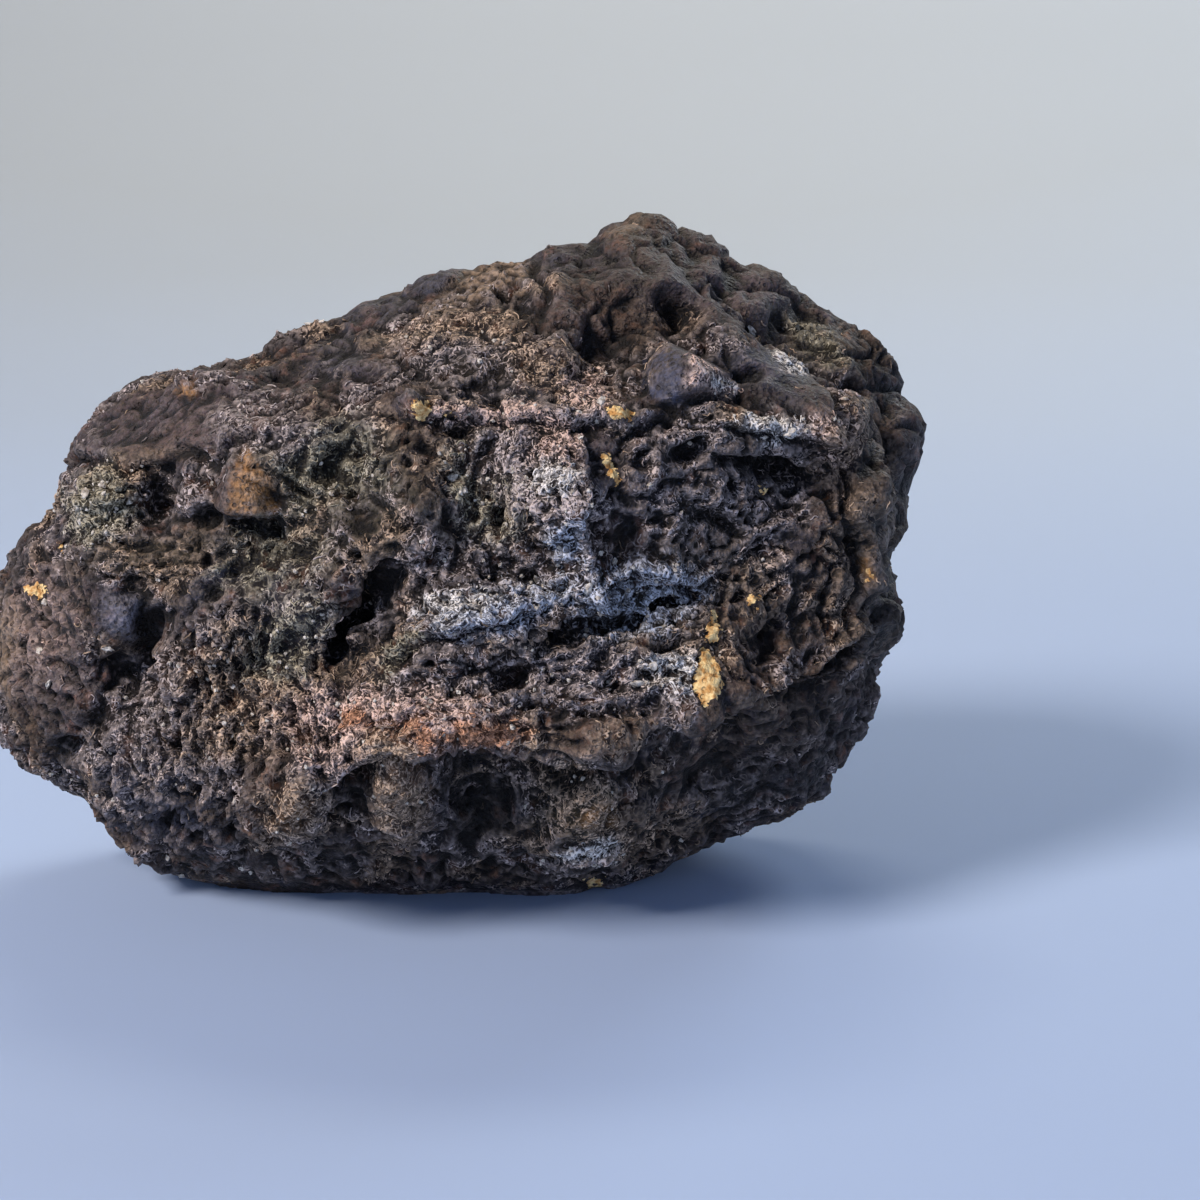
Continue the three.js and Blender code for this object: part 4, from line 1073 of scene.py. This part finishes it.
# The web: loose mineral threads, up to a third of a millimetre thick, that grew curled over the crust and
# are half sunk in it. They are sorted by shade, one joined mesh for each.
WEB_STEP = 0.34  # from one point of a thread to the next
WEB_POINTS = 8
WEB_THICK = (0.08, 0.17)  # the thinnest and thickest thread's radius
WEB_MOST = 3400  # threads in all
LOWEST_THREAD = 4  # no thread or crumb starts nearer to the floor than this
OFF_FLOOR = 0.05  # and none comes nearer than this

skin = BVHTree.FromPolygons([tuple(point) for point in points], [tuple(three) for three in corners])
first, second, third = points[corners].transpose(1, 0, 2)
areas = np.linalg.norm(np.cross(second - first, third - first), axis=1) / 2


def settle(spots):
    """The nearest places on the stone's skin, and the directions they face."""
    found = [skin.find_nearest(spot)[:2] for spot in spots]
    return np.array([hit[:] for hit, normal in found]), np.array([normal[:] for hit, normal in found])


def unit(vectors):
    return vectors / np.maximum(np.linalg.norm(vectors, axis=-1), 1e-9)[..., None]


def wander(starts, count, step, curl):
    """Curly paths over the stone from each start: their points and the directions the stone faces there."""
    spots, ways = settle(starts)
    heading = dice.normal(size=spots.shape)
    bend = dice.normal(0, curl, len(spots))
    path, out = [spots], [ways]
    for _ in range(count - 1):
        heading = unit(heading - (heading * ways).sum(axis=1)[:, None] * ways)
        bend = np.clip(0.2 * bend + dice.normal(0, 0.75, len(spots)), -1.3, 1.3)
        heading = heading * np.cos(bend)[:, None] + np.cross(ways, heading) * np.sin(bend)[:, None]
        spots, ways = settle(spots + step * heading)
        path.append(spots)
        out.append(ways)
    return np.stack(path, axis=1), np.stack(out, axis=1)


def thread_mesh(name, path, out, thick, arch):
    """One mesh of three-sided threads, pointed at both ends, along paths half sunk in the stone."""
    threads, count = path.shape[:2]
    share = np.linspace(0, 1, count)
    out = unit(out + np.roll(out, 1, axis=1) * 0.5)
    centre = path + out * (0.25 * thick[:, None] + arch[:, None] * np.sin(math.pi * share))[..., None]
    along = unit(np.gradient(centre, axis=1))
    side = unit(np.cross(along, out))
    over = np.cross(side, along)
    radius = thick[:, None] * np.minimum(1, 2.6 * np.sin(math.pi * share) + 0.02)
    rings = []
    for angle in (90, 210, 330):
        turn = math.radians(angle)
        rings.append(centre + radius[..., None] * (math.cos(turn) * side + math.sin(turn) * over))
    rings = np.stack(rings, axis=2)[:, 1:-1].reshape(threads, -1, 3)
    tips = centre[:, [0, -1]]
    all_points = np.concatenate((rings, tips), axis=1)
    faces = []
    last = count - 3
    for ring in range(last):
        for corner in range(3):
            a, b = 3 * ring + corner, 3 * ring + (corner + 1) % 3
            faces += [(a, b, b + 3), (a, b + 3, a + 3)]
    for corner in range(3):
        faces.append((3 * (count - 2), (corner + 1) % 3, corner))
        faces.append((3 * (count - 2) + 1, 3 * last + corner, 3 * last + (corner + 1) % 3))
    each = all_points.shape[1]
    all_faces = (np.array(faces)[None] + each * np.arange(threads)[:, None, None]).reshape(-1, 3)
    all_points[..., 2] = np.maximum(all_points[..., 2], OFF_FLOOR)
    mesh = bpy.data.meshes.new(name)
    mesh.from_pydata((all_points.reshape(-1, 3) / 1000).tolist(), [], all_faces.tolist())
    mesh.shade_smooth()
    return mesh, each


def web_material(name, colour):
    web = Recipe(name)
    dusty = web.range(web.cloud(web.places(), 1.3, 2.0, "Fac", 5), 0.3, 0.7, -0.25, 0.25)
    tone = web.sum("ADD", web.kept("tone"), dusty)
    shaded = [0.12 * share for share in colour]
    web.give("Base Color", web.mix(web.range(tone, 0, 1), shaded, colour))
    web.give("Roughness", 0.9)
    web.give("Specular IOR Level", 0.25)
    return web.material


crust_there = np.clip(crust + 0.3 * mottle, 0, 1)[corners].mean(axis=1)
pull = areas * np.where(in_front[corners].mean(axis=1) > 0.3, 1.0, 0.35) * crust_there**2
pull *= (chip[corners].mean(axis=1) < 0.4) * (points[corners][:, :, 2].min(axis=1) > LOWEST_THREAD)
seeds = dice.choice(len(corners), WEB_MOST, p=pull / pull.sum())
weights = dice.dirichlet((1, 1, 1), WEB_MOST)
seed_places = (points[corners[seeds]] * weights[..., None]).sum(axis=1)
seed_family = family[corners[seeds][:, 0]]
seed_tone = np.clip(0.2 + 0.7 * crust_there[seeds] + dice.normal(0, 0.25, WEB_MOST), 0.05, 1)
# Threads in the dips are darkened: painted shade.
seed_tone *= 1 - 0.6 * np.clip(dip, 0, 1)[corners[seeds]].mean(axis=1)
path, out = wander(seed_places, WEB_POINTS, WEB_STEP, 0.55)
thick = dice.uniform(*WEB_THICK, WEB_MOST)
arch = dice.uniform(0.05, 0.25, WEB_MOST)
for number, (name, colour) in enumerate(CRUST_SHADES.items()):
    chosen = np.flatnonzero(seed_family == number)
    web_mesh, each = thread_mesh(f"geode_web_{name}", path[chosen], out[chosen], thick[chosen], arch[chosen])
    tones = np.repeat(seed_tone[chosen], each).astype(np.float32)
    keep_number(web_mesh, "tone", tones)
    web_mesh.materials.append(web_material(f"{name} web", colour))
    web = bpy.data.objects.new(f"geode_web_{name}", web_mesh)
    bpy.context.collection.objects.link(web)
    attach(web, "root")

# The grit: small white grains of calcite, stuck in the stone's dips, a few big ones where they are seen
# and many crumbs among the web.
FLECKS = [
    (-75, 15.2, 1.3, 0.9), (-71.6, 16.8, 1.0, 0.9), (-76.6, 12.6, 0.7, 0.5), (-75.8, 9.8, 0.7, 0.9),
    (-83, -6.4, 0.8, 0.8), (-70.4, -15.6, 1.1, 0.7), (-84, -16.2, 0.9, 0.8), (35.4, -22.6, 1.4, 1.1),
    (38.6, -19, 1.0, 1.2), (29.8, -22.4, 0.9, 0.7), (25.6, -3.8, 1.2, 0.9), (-30, 49, 1.2, 0.5),
    (-27.6, 49.6, 0.9, 0.5), (-82.4, -22.6, 1.2, 0.6), (-58.4, -57.6, 0.8, 0.6), (-55.6, -61, 0.7, 0.6),
    (-43.6, -59.6, 0.9, 0.7), (-41.8, -60.4, 0.6, 0.5), (58.4, 47.8, 1.5, 0.7), (15.4, -1.6, 1.4, 0.7),
    (28.0, 33.4, 1.2, 0.8), (-1.6, 18.6, 1.2, 1.0), (0.8, 16.0, 0.9, 0.8), (66.0, 27.6, 1.2, 1.0),
    (10.4, -31.6, 0.9, 0.7), (3.0, -6.6, 0.8, 0.6), (31.0, 1.6, 1.0, 0.7),
]
CRUMBS = 420
ball = bmesh.new()
bmesh.ops.create_icosphere(ball, subdivisions=2, radius=1)
ball_points = np.array([vertex.co[:] for vertex in ball.verts])
ball_faces = np.array([[vertex.index for vertex in face.verts] for face in ball.faces])
ball.free()

grit_spots, grit_ways, grit_sizes = [], [], []
for fleck_across, fleck_up, half_length, half_width in FLECKS:
    aim = MIDDLE + fleck_across * RIGHT + fleck_up * UP - eye_place
    hit, normal, _, _ = skin.ray_cast(Vector(eye_place), Vector(aim))
    if hit is not None:
        grit_spots.append(hit[:])
        grit_ways.append(normal[:])
        grit_sizes.append((0.85 * half_length, 0.8 * half_width, 0.4 * half_width))
crumb_pull = pull * (crust_there > 0.5)
crumb_seeds = dice.choice(len(corners), CRUMBS, p=crumb_pull / crumb_pull.sum())
crumb_spots, crumb_ways = settle(points[corners[crumb_seeds]].mean(axis=1))
grit_spots = np.concatenate((grit_spots, crumb_spots))
grit_ways = np.concatenate((grit_ways, crumb_ways))
crumb_sizes = np.outer(dice.uniform(0.22, 0.5, CRUMBS), (1, 0.8, 0.7))
grit_sizes = np.concatenate((grit_sizes, crumb_sizes))
lies = unit(np.cross(grit_ways, dice.normal(size=grit_ways.shape)))
across_it = np.cross(grit_ways, lies)
lumpy = ball_points[None] * (1 + dice.normal(0, 0.26, (len(grit_spots), len(ball_points), 1)))
lumpy = lumpy * grit_sizes[:, None, :]
grit_points = grit_spots[:, None] + lumpy[..., :1] * lies[:, None] + lumpy[..., 1:2] * across_it[:, None]
grit_points += (lumpy[..., 2:] + 0.2) * grit_ways[:, None]
grit_points[..., 2] = np.maximum(grit_points[..., 2], OFF_FLOOR)
grit_faces = ball_faces[None] + len(ball_points) * np.arange(len(grit_spots))[:, None, None]
grit_mesh = bpy.data.meshes.new("geode_grit")
grit_mesh.from_pydata((grit_points.reshape(-1, 3) / 1000).tolist(), [], grit_faces.reshape(-1, 3).tolist())
calcite = Recipe("white grit")
chalky = calcite.range(calcite.cloud(calcite.places(), 0.7, 2.0), 0.3, 0.7)
calcite_colour = calcite.mix(chalky, linear(150, 140, 128), linear(226, 220, 210))
calcite.give("Base Color", calcite_colour)
calcite.give("Roughness", 0.8)
grit_mesh.materials.append(calcite.material)
grit_piece = bpy.data.objects.new("geode_grit", grit_mesh)
bpy.context.collection.objects.link(grit_piece)
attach(grit_piece, "root")

boxes = {"cad": solid_box, "visual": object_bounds()}
plain = {name: [[float(value) for value in corner] for corner in box] for name, box in boxes.items()}
